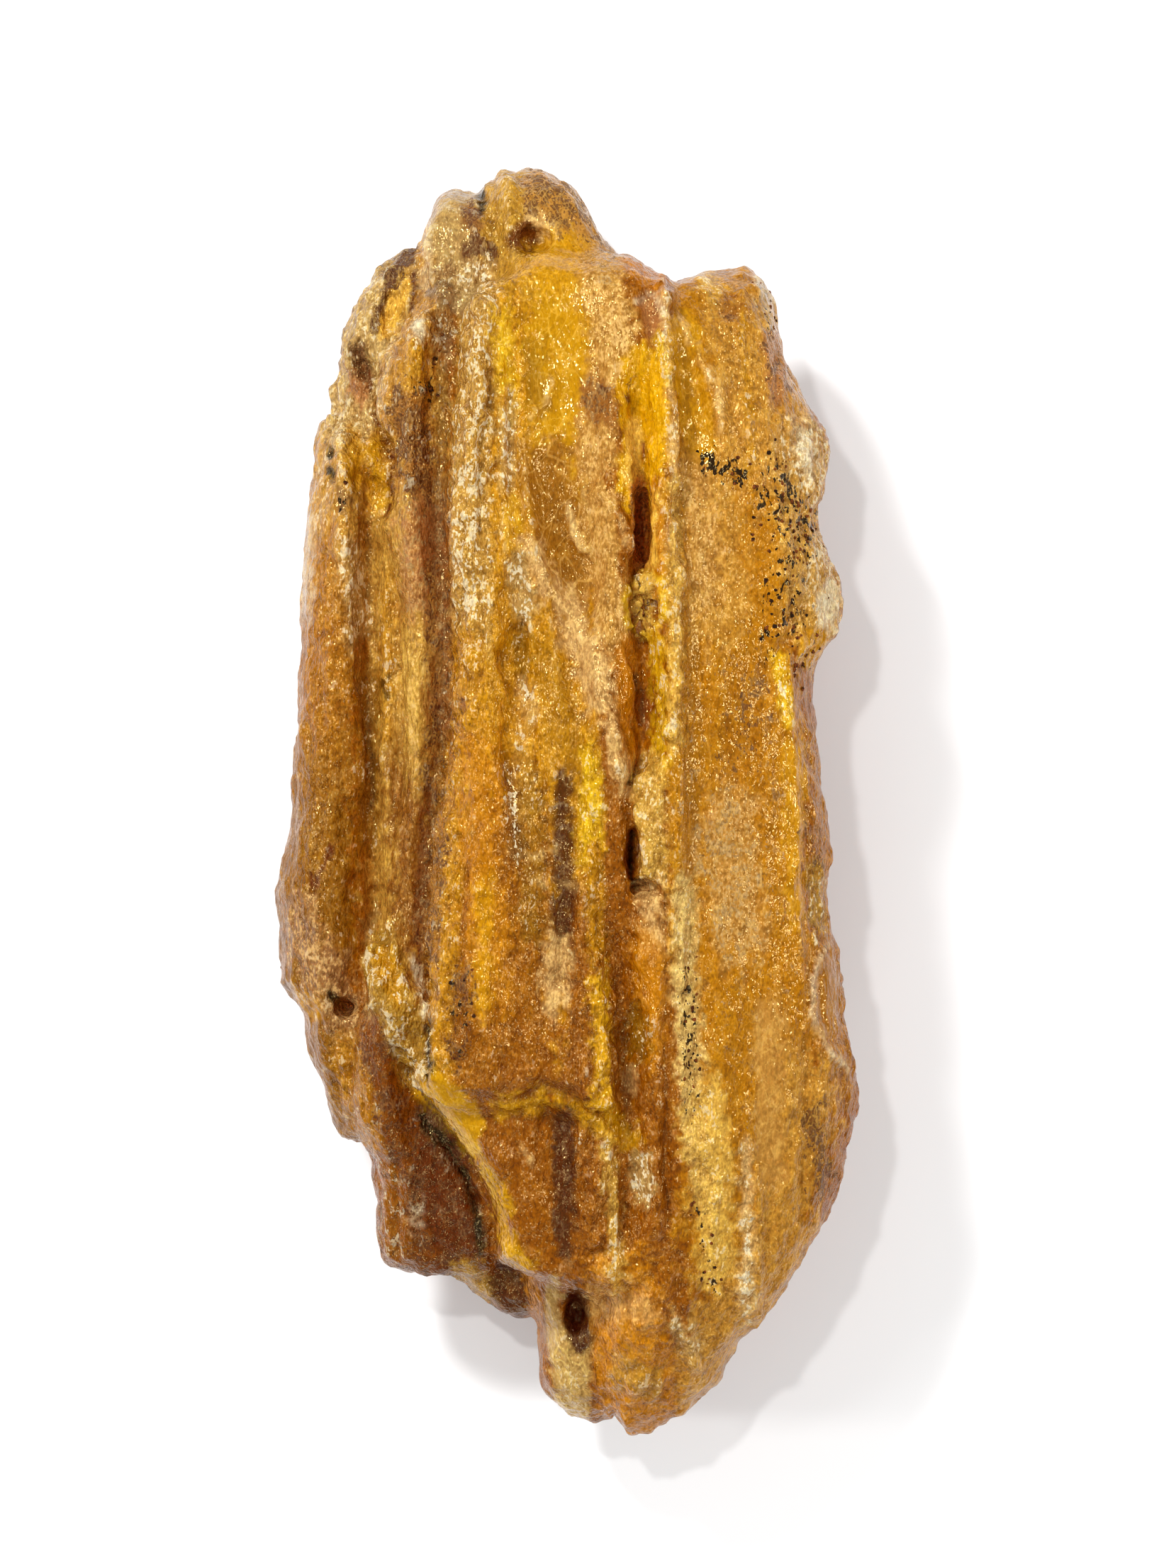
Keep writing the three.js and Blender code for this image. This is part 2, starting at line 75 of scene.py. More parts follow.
class Tone(Enum):
    """The colours of the lump, as screen values from 0 to 255."""

    DEEP_HONEY = (154, 84, 3)
    AMBER = (206, 128, 4)
    GOLD = (204, 138, 10)
    BRIGHT_GOLD = (238, 186, 76)
    YELLOW = (222, 160, 8)
    CLEAR_YELLOW = (214, 150, 14)
    BRIGHT_YELLOW = (244, 190, 20)
    TROUGH = (214, 152, 6)
    CRACKLE = (168, 108, 22)
    RUSSET = (226, 142, 60)
    ORANGE = (196, 116, 4)
    # painted glow: the brighter orange of light coming through clear resin
    GLOW_ORANGE = (240, 176, 4)
    PALE_ORANGE = (250, 192, 70)
    OLIVE = (150, 102, 14)
    MOSS = (146, 92, 12)
    GREEN_GOLD = (190, 140, 44)
    GREY_GOLD = (204, 150, 58)
    STONE_GOLD = (208, 168, 96)
    STONE = (138, 98, 60)
    DUN = (182, 144, 82)
    DUSK = (166, 118, 72)
    BRICK = (158, 94, 56)
    TAN = (192, 124, 8)
    PINK_TAN = (200, 140, 46)
    TAWNY = (174, 108, 14)
    BISCUIT = (204, 146, 62)
    MILK = (214, 164, 94)
    CREAM = (240, 196, 120)
    STRAW = (248, 210, 120)
    # painted highlight: the colour of glints and glassy reflections
    HIGHLIGHT_WHITE = (254, 238, 194)
    SALMON = (190, 124, 68)
    RUST = (140, 66, 18)
    UMBER = (134, 68, 8)
    DARK_UMBER = (106, 44, 8)
    BROWN = (104, 52, 20)
    MAROON = (78, 30, 14)
    NEARLY_BLACK = (34, 20, 10)

    @property
    def linear(self) -> tuple[float, float, float]:
        """The tone as linear light values, by the usual screen curve."""
        screen = [part / 255 for part in self.value]
        return tuple(s / 12.92 if s <= 0.04045 else ((s + 0.055) / 1.055) ** 2.4 for s in screen)

    @property
    def paint(self) -> tuple[float, float, float, float]:
        """The tone as a solid colour for a socket."""
        return (*self.linear, 1.0)


class Mask(Enum):
    """What a vertex attribute says about the surface, from 0 to 1."""

    DUST = "dust"
    STAIN = "stain"
    SPECK = "speck"
    CLEAR = "clear"
    # how strongly painted glints, which are painted highlights, show
    GLEAM = "gleam"
    CRAZE = "craze"
    # painted shade: how deep in a hollow or a fine valley a point lies
    HOLLOW = "hollow"
    # painted highlight: how far a point stands out on a crest
    CREST = "crest"
    CRUST = "crust"
    COARSE = "coarse"


@dataclass(frozen=True)
class Patch:
    """A feature of the upper side, drawn as a soft brush line seen from above.

    line is the middle of the brush, width its half width, soft the length over which it fades
    and blend how much of its tone it lays on. lift is how far the feature stands up, or lies
    sunk where it is below 0, and rough how strongly the ribs and knobs show there. The rest
    are how strong the masks of the same names are.
    """

    line: Line
    width: float
    tone: Tone | None = None
    blend: float = 1.0
    soft: float = 1.0
    lift: float = 0.0
    rough: float | None = None
    dust: float = 0.0
    stain: float = 0.0
    speck: float = 0.0
    clear: float = 0.0
    # how strongly painted glints, which are painted highlights, show here
    gleam: float = 0.0
    craze: float = 0.0


@dataclass(frozen=True)
class Ridge:
    """A ridge along a line seen from above, or a groove where its height is below 0.

    width is how far from the line it still has a third of its height. A sharp one comes to an
    edge.
    """

    line: Line
    width: float
    height: float
    sharp: bool = False


# ---- the features of the upper side, from the large zones to the small marks ----

ZONES: dict[str, Patch] = {
    "terrace": Patch(((-28, 38), (-28.6, 10), (-29, -20), (-26, -36)), 5.4, Tone.MOSS, soft=1.5, gleam=0.3),
    "terrace top": Patch(((-24, 42), (-26, 28)), 4.4, Tone.GREY_GOLD, blend=0.8, soft=2.4, gleam=0.5),
    "terrace middle": Patch(((-26.4, 24), (-27.4, 4)), 3.6, Tone.TAWNY, blend=0.8, soft=3, rough=0.7),
    "middle": Patch(((-17.4, 46), (-18, 26), (-17, -12), (-16, -40)), 4.6, Tone.GREY_GOLD, soft=1.6),
    "middle top": Patch(
        ((-15, 58), (-17.6, 50), (-18.4, 40)), 3.8, Tone.PINK_TAN, soft=1.2, gleam=0.5, rough=1.2
    ),
    "middle low": Patch(((-17, 2), (-16, -14)), 3.0, Tone.UMBER, blend=0.8, soft=2.4),
    "lower back": Patch(((-19, -30), (-18, -50)), 5.0, Tone.UMBER, soft=1.6, gleam=0.1, stain=0.5),
    "lower back right": Patch(((-13.4, -38), (-11.4, -50)), 3.2, Tone.DARK_UMBER, soft=1.2, stain=0.35),
    "front sheet": Patch(
        ((-4, 54), (-4.6, 30), (-4.2, 10), (-5.4, -4), (-7, -22)), 8.0, Tone.GOLD, soft=0.8, rough=0.8
    ),
    "front low": Patch(((-7, -8), (-7, -30)), 6.4, Tone.DEEP_HONEY, blend=0.9, soft=3, rough=0.8),
    "below the lip": Patch(((-4, -36), (-2, -52)), 5.4, Tone.DEEP_HONEY, soft=2, clear=0.2),
    "right of the low front": Patch(((2.4, -14), (3.4, -52)), 3.0, Tone.DEEP_HONEY, soft=2, rough=1.2),
    "rim": Patch(
        ((-9.6, 56), (-10.4, 38), (-10.4, 18)), 2.4, Tone.GREY_GOLD, soft=0.9, gleam=0.8, rough=1.5
    ),
    "low rim": Patch(
        ((-10.8, 16), (-12.8, -6), (-14.4, -28)), 2.0, Tone.GOLD, soft=0.9, gleam=0.45, rough=1.3
    ),
    "gold ridge": Patch(
        ((12.4, 34), (12.6, 4), (12.4, -16)), 1.6, Tone.GOLD, soft=1.6, gleam=0.3, rough=1.1
    ),
    "right panel": Patch(
        ((18, 50), (18, 10), (20, -20), (20, -46)), 7.4, Tone.TAN, soft=2, rough=0.4, clear=0.2, stain=0.2
    ),
    "right panel top": Patch(
        ((15.6, 38), (16.4, 22)), 3.4, Tone.PINK_TAN, blend=0.9, soft=2, rough=0.4, dust=0.2
    ),
    "upper right": Patch(((20, 57), (22, 42)), 5.4, Tone.PINK_TAN, soft=2, rough=0.7),
    "right edge": Patch(((26, 36), (27.4, 20)), 3.4, Tone.GREY_GOLD, soft=2, gleam=0.9, dust=0.5, rough=1.1),
    "right border": Patch(((28.6, 6), (29.5, -12), (29, -30)), 2.4, Tone.TAWNY, blend=0.9, rough=0.9),
    "low right": Patch(((26, -32), (22, -52), (14, -64)), 3.6, Tone.PINK_TAN, soft=2.4, rough=0.5),
    "crown": Patch(((-7, 66), (-4, 62), (0, 60)), 4.5, Tone.GREEN_GOLD, soft=1.0, rough=0.7),
    "block": Patch(((-12.2, 66), (-12, 58)), 2.9, Tone.DUN, soft=0.8, clear=0.2, gleam=0.3, rough=0.3),
    "lobe": Patch(((-20, 58), (-23.4, 50), (-24, 44)), 3.6, Tone.STONE_GOLD, soft=1, gleam=0.6, rough=1.2),
    "foot bulb": Patch(((6, -56), (8, -67)), 4.5, Tone.AMBER, soft=2, clear=0.2, rough=0.9),
}

FEATURES: dict[str, Patch] = {
    # the upper end
    "crown stain": Patch(
        ((-2.2, 66.8), (0.6, 64.4), (4.4, 60.6)), 2.6, Tone.BISCUIT, soft=0.7, stain=0.62, rough=0.4
    ),
    "crown cream": Patch(((-3.4, 63), (-1.4, 61.6)), 0.8, Tone.CREAM, soft=0.8, dust=0.6),
    # painted shade inside the pocket of the crown
    "crown pocket": Patch(((-5.4, 61.6), (-4, 61.4)), 1.0, Tone.BROWN, soft=0.6),
    "crown pocket right": Patch(((-3, 61.4), (-2, 61.2)), 0.4, Tone.MAROON, soft=0.4, lift=-0.3),
    "crown crack": Patch(((-9.4, 67.6), (-9.3, 65.2)), 0.45, Tone.NEARLY_BLACK, soft=0.4, lift=-0.4),
    "block rust": Patch(((-10.6, 64.4), (-10, 62.6)), 0.8, Tone.RUST, blend=0.6, soft=0.8, stain=0.7),
    "block dark": Patch(
        ((-11, 60.4), (-9.6, 61), (-8.2, 60)), 0.7, Tone.BROWN, blend=0.7, soft=0.7, stain=1.0
    ),
    # painted highlight on the glassy side of the block
    "block glass": Patch(((-15.4, 63.4), (-15.4, 56.6)), 0.6, Tone.HIGHLIGHT_WHITE, blend=0.35, soft=0.6, clear=0.8),
    "below the block": Patch(((-13, 57), (-8.6, 58.4)), 0.9, Tone.CREAM, blend=0.5, gleam=1.0, rough=1.4),
    "lobe orange": Patch(
        ((-17.8, 57), (-19.6, 52.8)), 1.1, Tone.PALE_ORANGE, soft=0.6, clear=0.3, lift=-0.4
    ),
    "lobe orange shadow": Patch(((-16.7, 58), (-17, 54)), 0.35, Tone.BROWN, soft=0.5),
    "lobe stain": Patch(((-17.6, 60.2), (-19.2, 58)), 0.9, Tone.BROWN, blend=0.7, stain=1.0),
    "lobe stain edge": Patch(
        ((-19.6, 57.4), (-21.2, 52.4)), 0.4, Tone.BROWN, blend=0.7, soft=0.6, stain=0.8
    ),
    "lobe pocket": Patch(
        ((-22.8, 49), (-22.6, 46.8)), 1.1, Tone.MAROON, blend=0.9, soft=0.6, stain=0.6, dust=0.3
    ),
    "lobe pink": Patch(((-22.9, 45.8), (-22.6, 45)), 0.9, Tone.SALMON, blend=0.8),
    "streak": Patch(((7, 59), (9.6, 56.4)), 1.2, Tone.ORANGE, blend=0.8, clear=0.4),
    "pink pocket": Patch(
        ((9, 54.4), (9.8, 51)), 1.1, Tone.SALMON, blend=0.8, soft=0.6, clear=0.6, lift=-0.5
    ),
    # painted highlight along the rim of the pink pocket
    "pink pocket rim": Patch(
        ((7.6, 54.4), (9.6, 55.2), (10.8, 53)), 0.25, Tone.HIGHLIGHT_WHITE, blend=0.5, soft=0.5, gleam=0.6
    ),
    "shiny fold": Patch(((10.2, 49.8), (11, 46.4)), 0.8, Tone.BRIGHT_YELLOW, soft=0.8, gleam=0.9, rough=1.5),
    "ridge over the crevice": Patch(
        ((10.8, 55), (11, 48), (11.6, 40), (11.8, 35)),
        0.45, Tone.CREAM, blend=0.5, soft=0.8, gleam=0.55, lift=0.4,
    ),
    "plane": Patch(
        ((12.8, 50.6), (13.6, 45), (14.6, 39.6)), 1.8, Tone.CLEAR_YELLOW, soft=0.7, clear=0.5, rough=0.2
    ),
    "plane border": Patch(
        ((12.6, 52), (14.8, 47.6), (16.4, 45.2), (16.9, 40.6)),
        0.3, Tone.CREAM, blend=0.7, soft=0.6, lift=0.25,
    ),
    "gold fold": Patch(((14.8, 58), (16.4, 55.8)), 0.9, Tone.BRIGHT_GOLD, blend=0.8, gleam=0.8),
    "top tan": Patch(((18, 58), (21, 57)), 1.6, Tone.TAWNY, blend=0.6, soft=1.6),
    # painted highlight at the corner
    "corner gleam": Patch(((21.4, 56.8), (22.6, 55.8)), 0.7, Tone.HIGHLIGHT_WHITE, blend=0.6, gleam=1.0, speck=0.3),
    "corner specks": Patch(((21.6, 55.6), (22.2, 52)), 0.8, Tone.STONE_GOLD, blend=0.6, speck=0.5),
    "rust fold": Patch(((17.2, 54), (19.4, 52.8)), 0.9, Tone.RUST, blend=0.55, stain=0.3),
    "rust right": Patch(((22.6, 49.4), (23.4, 45.6)), 1.4, Tone.SALMON, blend=0.8, stain=0.45),
    "right seam": Patch(
        ((19.4, 53), (19.6, 46), (20.4, 40), (20, 34)),
        0.3, Tone.CLEAR_YELLOW, blend=0.8, soft=0.7, gleam=0.6, lift=-0.3,
    ),
    # the front sheet, from its upper end down
    "trough": Patch(
        ((-0.8, 57), (-0.4, 42), (-1.4, 35)), 3.4, Tone.TROUGH, soft=1.2, clear=0.9, craze=0.45, rough=0.12
    ),
    "trough top": Patch(((-5, 57.4), (2, 58.6)), 1.6, Tone.CLEAR_YELLOW, blend=0.7, soft=1.6, clear=0.4),
    "olive depth": Patch(((-3.4, 48), (-3, 44)), 1.2, Tone.OLIVE, blend=0.6, soft=1.6, clear=1.0, lift=-0.3),
    "crescent": Patch(
        ((-1.6, 45.6), (-2.2, 43.6), (-3.7, 41.7)),
        0.12, Tone.CREAM, blend=0.7, soft=0.4, lift=0.3, clear=0.8,
    ),
    "groove glow": Patch(((-6.8, 52), (-6.2, 43)), 1.0, Tone.BRIGHT_YELLOW, blend=0.8, soft=1.4, clear=0.5),
    "groove": Patch(
        ((-6.4, 43), (-5.8, 30)), 0.9, Tone.STONE_GOLD, blend=0.7, soft=1.4, gleam=1.0, clear=0.3
    ),
    # painted glow of light through the clear resin
    "groove amber": Patch(((-5.6, 32.4), (-5.2, 27)), 1.1, Tone.GLOW_ORANGE, blend=0.8, clear=0.6),
    "cream": Patch(
        ((3.8, 56), (5.6, 50), (4, 44), (3, 38)), 2.4, Tone.BISCUIT, soft=1.6, dust=0.4, rough=0.4
    ),
    "cream bright": Patch(((5.8, 51.6), (6.4, 47.4)), 1.5, Tone.BISCUIT, soft=1.4, dust=0.7),
    "rust one": Patch(((3, 44), (4.8, 42.4)), 1.3, Tone.RUST, blend=0.6, stain=0.5),
    "rust two": Patch(((6.2, 46), (6.8, 45.6)), 0.5, Tone.RUST, blend=0.8, soft=0.5, stain=0.6),
    "crackled": Patch(
        ((-2.4, 35), (0, 28), (0.4, 24)), 3.2, Tone.CRACKLE, soft=1.6, clear=0.5, craze=1.0, rough=0.3
    ),
    "shell chip": Patch(
        ((0.2, 31.8), (0.7, 29.8), (1.6, 27.8), (2.3, 27.3)), 0.3, Tone.CREAM, soft=0.45, lift=0.4
    ),
    "shell arch": Patch(
        ((1.9, 33.4), (4.2, 33.2), (5.8, 31), (6.6, 27.4)), 0.3, Tone.CREAM, blend=0.6, soft=0.5, lift=0.3
    ),
    "inside chip": Patch(((3.6, 31.4), (4, 26), (5, 19)), 2.0, Tone.BISCUIT, soft=1.2, dust=0.4, rough=0.3),
    "milk sweep": Patch(
        ((-4.2, 27.6), (-2.4, 23.6), (1.4, 19), (3.6, 13.6), (5, 8), (6.2, 2.6)),
        0.9, Tone.MILK, soft=1.4, dust=0.5, lift=0.2,
    ),
    "milk wide": Patch(((0.8, 19), (2.4, 16), (3.6, 12)), 1.8, Tone.MILK, soft=1.6, dust=0.45, rough=0.2),
    "below the milk": Patch(((-2, 15), (-0.6, 8), (1.6, 3)), 1.8, Tone.OLIVE, blend=0.4, soft=2, clear=0.4),
    "grey gleam": Patch(
        ((-5.4, 25.6), (-4.4, 20.4)), 1.1, Tone.STONE_GOLD, blend=0.8, clear=0.5, gleam=1.0, rough=1.3
    ),
    "dark groove": Patch(
        ((-5, 18), (-4.6, 14)), 0.9, Tone.OLIVE, blend=0.8, clear=0.6, gleam=0.4, lift=-0.3
    ),
    "white spot": Patch(((-4.6, 12.2), (-3.9, 9.6)), 0.9, Tone.CREAM, blend=0.4, soft=0.8, gleam=1.0),
    "groove low": Patch(
        ((-4.6, 8), (-5, -4)), 1.1, Tone.GREY_GOLD, blend=0.6, soft=1.4, clear=0.4, gleam=0.6
    ),
    "amber sheet": Patch(
        ((-9.4, 4), (-8.6, -8), (-8.4, -20)), 2.4, Tone.AMBER, blend=0.8, soft=2.4, clear=0.3
    ),
    "inner column": Patch(
        ((-0.2, 2.4), (-0.3, -7), (-0.5, -15.6)),
        1.15, Tone.MAROON, blend=0.9, soft=1.0, clear=0.6, stain=0.3,
    ),
    "inner gleam": Patch(
        ((2.6, 4.4), (2.6, -1), (2.8, -6)),
        1.2, Tone.BRIGHT_YELLOW, soft=0.9, gleam=0.45, clear=0.3, rough=1.3,
    ),
    "inner gleam low": Patch(((3, -6), (3.2, -16)), 0.9, Tone.GOLD, soft=1.2, gleam=0.5),
    "left column": Patch(((-3.6, 2), (-3.8, -14)), 1.2, Tone.OLIVE, blend=0.7, soft=1.6, gleam=0.4),
    "milk spot": Patch(((-1, -16.6), (-1, -20.8)), 1.4, Tone.MILK, soft=1.2, dust=0.5),
    "speckled rim": Patch(((-11, -20), (-11.6, -26)), 1.6, Tone.UMBER, blend=0.4, stain=0.5, speck=0.3),
    "low gold": Patch(((3.6, -19.4), (3.8, -32.6)), 0.9, Tone.YELLOW, soft=1, gleam=0.4, lift=0.3),
    "wave line one": Patch(
        ((-7, -5.4), (-4, -6), (-1, -5)), 0.15, Tone.CREAM, blend=0.3, soft=0.5, craze=0.6
    ),
    "wave line two": Patch(
        ((-4, -8.8), (-1, -8.6), (2, -9.6)), 0.15, Tone.CREAM, blend=0.3, soft=0.5, craze=0.6
    ),
    # the lip and the corner
    "corner": Patch(
        ((-15.2, -31.4), (-12.8, -33.2), (-10.6, -35.6)), 1.6, Tone.YELLOW, soft=0.7, clear=0.9, rough=0.1
    ),
    "corner edge": Patch(
        ((-15.4, -32), (-13.4, -34.6), (-10.2, -38), (-8.2, -41), (-7, -45)),
        0.5, Tone.BRIGHT_YELLOW, blend=0.6, clear=0.6,
    ),
    # painted glow of light through the clear resin along the lip
    "lip": Patch(
        ((-7, -33.4), (-2.4, -32.4), (1, -33.2), (4.6, -36)),
        0.6, Tone.GLOW_ORANGE, blend=0.65, soft=1.2, clear=0.5,
    ),
    "lip shadow": Patch(
        ((-6, -35), (-2, -34.2), (1.6, -35.4), (4.4, -38)), 0.4, Tone.UMBER, blend=0.3, soft=0.8
    ),
    "dark streak": Patch(((-0.2, -34.6), (-0.2, -47.6)), 1.15, Tone.MAROON, blend=0.85, soft=0.9, stain=0.4),
    "flake": Patch(((-4.9, -37.6), (-3.6, -39)), 0.2, Tone.CREAM, blend=0.7, soft=0.4, lift=0.2),
    "low left edge": Patch(
        ((-6.8, -43.6), (-6.4, -49.4), (-4.2, -50.6)), 0.8, Tone.YELLOW, soft=1, clear=0.6
    ),
    # the crevice
    # painted glow of light through the clear resin
    "window": Patch(
        ((8.2, 46), (8.4, 40), (8.2, 34.6)), 2.4, Tone.GLOW_ORANGE, soft=0.9, clear=0.6, rough=0.6
    ),
    "window dot": Patch(((6.6, 43.9), (6.7, 43.8)), 0.25, Tone.BROWN, soft=0.3),
    "window low": Patch(((9.8, 34), (9.8, 22)), 0.8, Tone.AMBER, soft=0.8, clear=0.5, gleam=0.3),
    "pale block": Patch(((7.4, 40.2), (7.2, 35.6)), 0.9, Tone.PALE_ORANGE, soft=0.4, lift=0.3),
    "window crack": Patch(((8.5, 38.8), (8.4, 35.4), (8.7, 33.8)), 0.2, Tone.RUST, soft=0.3, lift=-0.4),
    "slot": Patch(((8.0, 33.6), (8.1, 26.2)), 0.9, Tone.RUSSET, soft=0.4, stain=0.6),
    "ochre ribbon": Patch(((9.9, 33.4), (9.4, 29), (9.8, 26)), 0.4, Tone.PALE_ORANGE, soft=0.6, lift=0.35),
    "pink gloss": Patch(((11.4, 29.6), (11.6, 28)), 0.6, Tone.SALMON, blend=0.9, soft=0.6, clear=0.6),
    "bubble ring": Patch(
        ((8.2, 25), (6.4, 22), (6.8, 19.4), (8.6, 18), (10.6, 20), (10.4, 23.6), (8.2, 25)),
        0.3, Tone.BRIGHT_YELLOW, soft=0.5, clear=0.8, gleam=0.4, lift=0.45,
    ),
    "bubble": Patch(
        ((8.6, 22.8), (8.4, 20.2)),
        1.2, Tone.BRIGHT_GOLD, soft=0.9, gleam=0.4, stain=0.3, rough=1.4, clear=0.8, lift=1.5,
    ),
    "black crack": Patch(((6.9, 16.2), (7.4, 14.2), (7.7, 12)), 0.3, Tone.NEARLY_BLACK, soft=0.3, lift=-0.6),
    "amber wall": Patch(((6.6, 16), (6.8, 9), (8, 5)), 1.0, Tone.ORANGE, soft=1, clear=0.4),
    "round pit": Patch(
        ((8.8, 10.6), (8.9, 9.2)), 1.2, Tone.RUST, blend=0.6, lift=-0.5, clear=0.5, gleam=0.4
    ),
    "yellow run down": Patch(
        ((9.8, 17), (10.4, 10), (10, 4)), 0.8, Tone.BRIGHT_YELLOW, blend=0.8, gleam=0.6, clear=0.4
    ),
    "diagonal crack": Patch(((6.8, 2), (7.8, 4)), 0.2, Tone.NEARLY_BLACK, soft=0.3, lift=-0.4),
    "flap": Patch(
        ((9, 2.6), (9.4, -7)), 1.7, Tone.BRIGHT_GOLD, blend=0.75, soft=0.8, gleam=0.6, dust=0.3, rough=1.2
    ),
    # painted shade in the gaps beside and under the flap
    "gap beside flap": Patch(((7.1, -3.4), (7.1, -8)), 0.3, Tone.NEARLY_BLACK, soft=0.3, lift=-0.3),
    "gap under flap": Patch(((7.4, -8.8), (9.4, -9.2)), 0.4, Tone.NEARLY_BLACK, soft=0.3),
    "milk under flap": Patch(((9.2, -10.6), (9.6, -15)), 1.2, Tone.MILK, soft=1.2, dust=0.6),
    "amber column": Patch(
        ((9, -16), (9.4, -26)), 1.6, Tone.AMBER, blend=0.85, soft=1.4, clear=0.4, rough=0.5
    ),
    "low pit": Patch(
        ((7.8, -23.6), (8, -26.6)), 0.9, Tone.OLIVE, blend=0.8, lift=-0.5, gleam=0.8, clear=0.5
    ),
    "low white": Patch(((7, -29.8), (7.2, -31)), 0.6, Tone.CREAM, blend=0.5, soft=0.5),
    "sparkle strip": Patch(
        ((4.6, -37), (5.2, -46), (5.6, -53)), 0.7, Tone.BRIGHT_GOLD, blend=0.7, soft=1, gleam=0.7
    ),
    # painted glow of light through the clear resin
    "curl glow": Patch(
        ((3.8, -31.4), (5.4, -35), (7.6, -37.2)), 0.9, Tone.GLOW_ORANGE, blend=0.55, clear=0.5
    ),
    "lowest pit": Patch(
        ((8, -39.4), (8.6, -42.6)), 1.1, Tone.STONE_GOLD, blend=0.8, soft=0.7, lift=-0.4, gleam=1.0
    ),
    # the gold ridge and what runs beside it
    "ridge glints": Patch(
        ((12, 34), (12, 18), (11.8, 7)), 0.7, Tone.BRIGHT_GOLD, blend=0.8, soft=1.2, gleam=0.55, rough=1.4
    ),
    "gold line": Patch(
        ((12.8, -10), (13, -21), (13.8, -33), (15.4, -44)),
        1.3, Tone.STRAW, blend=0.8, soft=1.2, gleam=0.45, dust=0.4, rough=1.2,
    ),
    "gold specks": Patch(((13.2, -19.4), (13.8, -33.4)), 0.9, speck=0.55),
    "gold specks low": Patch(((14.6, -44.4), (15.8, -52)), 1.2, speck=0.6),
    "gold patch": Patch(((15.6, -34), (16.4, -49)), 2.2, Tone.BRIGHT_GOLD, blend=0.9, soft=2, gleam=0.45),
    "white strip": Patch(
        ((19.6, -38), (19.8, -56)), 0.7, Tone.CREAM, soft=1, gleam=1.0, dust=0.4, rough=1.2
    ),
    # the right panel
    "pink top": Patch(((14.2, 34), (15.4, 24)), 1.6, Tone.BISCUIT, blend=0.9, soft=2, dust=0.35),
    "pink middle": Patch(
        ((17.8, -3), (18.4, -13)), 3.2, Tone.BISCUIT, blend=0.9, soft=2.4, dust=0.5, stain=0.42
    ),
    "pink low": Patch(
        ((22, -24), (22, -40)), 1.6, Tone.BISCUIT, blend=0.9, soft=1.2, dust=0.2, clear=0.6, rough=0.15
    ),
    "brown smoke": Patch(((20, 12), (19, 6)), 2.4, Tone.TAWNY, blend=0.6, soft=2.4, stain=0.35),
    "specks top": Patch(((15.4, 37.2), (18.8, 35.2)), 0.9, soft=0.9, speck=0.9),
    "specks middle": Patch(((22.6, 34), (25.4, 30)), 2.2, soft=1.6, speck=0.62),
    "specks low": Patch(((23.6, 27), (25.6, 18)), 2.2, soft=1.8, speck=0.48),
    "specks left": Patch(((22, 23), (22.4, 16)), 1.0, soft=1.2, speck=0.5),
    # painted highlights on the right edge
    "gleam top": Patch(
        ((25.8, 40), (26.4, 36.6)), 1.1, Tone.HIGHLIGHT_WHITE, blend=0.5, soft=1, gleam=1.0, rough=1.5
    ),
    "gleam bump": Patch(
        ((28.8, 22), (28.4, 19.4)), 1.2, Tone.HIGHLIGHT_WHITE, blend=0.7, soft=1, gleam=1.0, clear=0.4
    ),
    "bump edge": Patch(((28, 17.6), (26.4, 16.8)), 1.1, Tone.CLEAR_YELLOW, clear=0.8),
    "yellow run": Patch(((23.2, 15), (24.2, 9)), 0.7, Tone.BRIGHT_YELLOW, soft=0.8, gleam=0.9),
    "yellow band": Patch(((24.8, 6), (25, -12)), 1.2, Tone.CLEAR_YELLOW, blend=0.8, soft=1.2, clear=0.5),
    "yellow corner": Patch(((27.2, -8), (27.4, -13)), 1.1, Tone.GREEN_GOLD, gleam=0.9, rough=1.4),
    # painted highlight along the rim of the edge shell
    "edge shell rim": Patch(
        ((28.4, -16), (27, -19), (27, -23.4), (28.6, -27), (30.6, -29)),
        0.25, Tone.HIGHLIGHT_WHITE, blend=0.5, soft=0.4, lift=0.3,
    ),
    "edge shell": Patch(((28.8, -18.6), (28.6, -25)), 1.1, Tone.CRACKLE, blend=0.7, clear=1.0, rough=0.2),
    "edge stain": Patch(((27, -34.6), (27.8, -41)), 1.2, soft=1.4, stain=0.8),
    "right spots": Patch(((26.4, -4), (27.4, -7.4)), 1.0, stain=0.5),
    # the terrace and the step beside it
    "middle grey": Patch(
        ((-13.4, 56), (-13.6, 49.6)), 1.6, Tone.STONE, blend=0.7, soft=1.4, stain=0.3, gleam=0.5
    ),
    "middle amber": Patch(((-16.4, 49), (-16.8, 45.6)), 1.2, Tone.CLEAR_YELLOW, blend=0.7, stain=0.35),
    # painted highlight
    "middle sparkle": Patch(((-16.4, 52), (-15.8, 51)), 0.5, Tone.HIGHLIGHT_WHITE, blend=0.8, soft=0.6),
    "middle specks": Patch(((-14.3, 48.4), (-14.9, 44.2), (-16.6, 46)), 0.6, soft=0.8, speck=0.8),
    "cliff stain": Patch(
        ((-17.2, 42), (-15.8, 36), (-15.2, 28)), 2.2, Tone.BRICK, blend=0.5, soft=1.6, stain=0.7
    ),
    "cliff stain middle": Patch(
        ((-14.6, 30), (-14, 20), (-13.6, 10)), 1.8, Tone.BRICK, blend=0.5, soft=1.6, stain=0.5
    ),
    "cliff stain low": Patch(
        ((-13.8, 10), (-14.4, -4), (-15.2, -16)), 1.6, Tone.BRICK, blend=0.4, soft=1.6, stain=0.6
    ),
    "cliff pink": Patch(
        ((-17, 30), (-16.6, 22)), 1.4, Tone.SALMON, blend=0.7, soft=1.6, dust=0.4, stain=0.3
    ),
    "trench": Patch(
        (
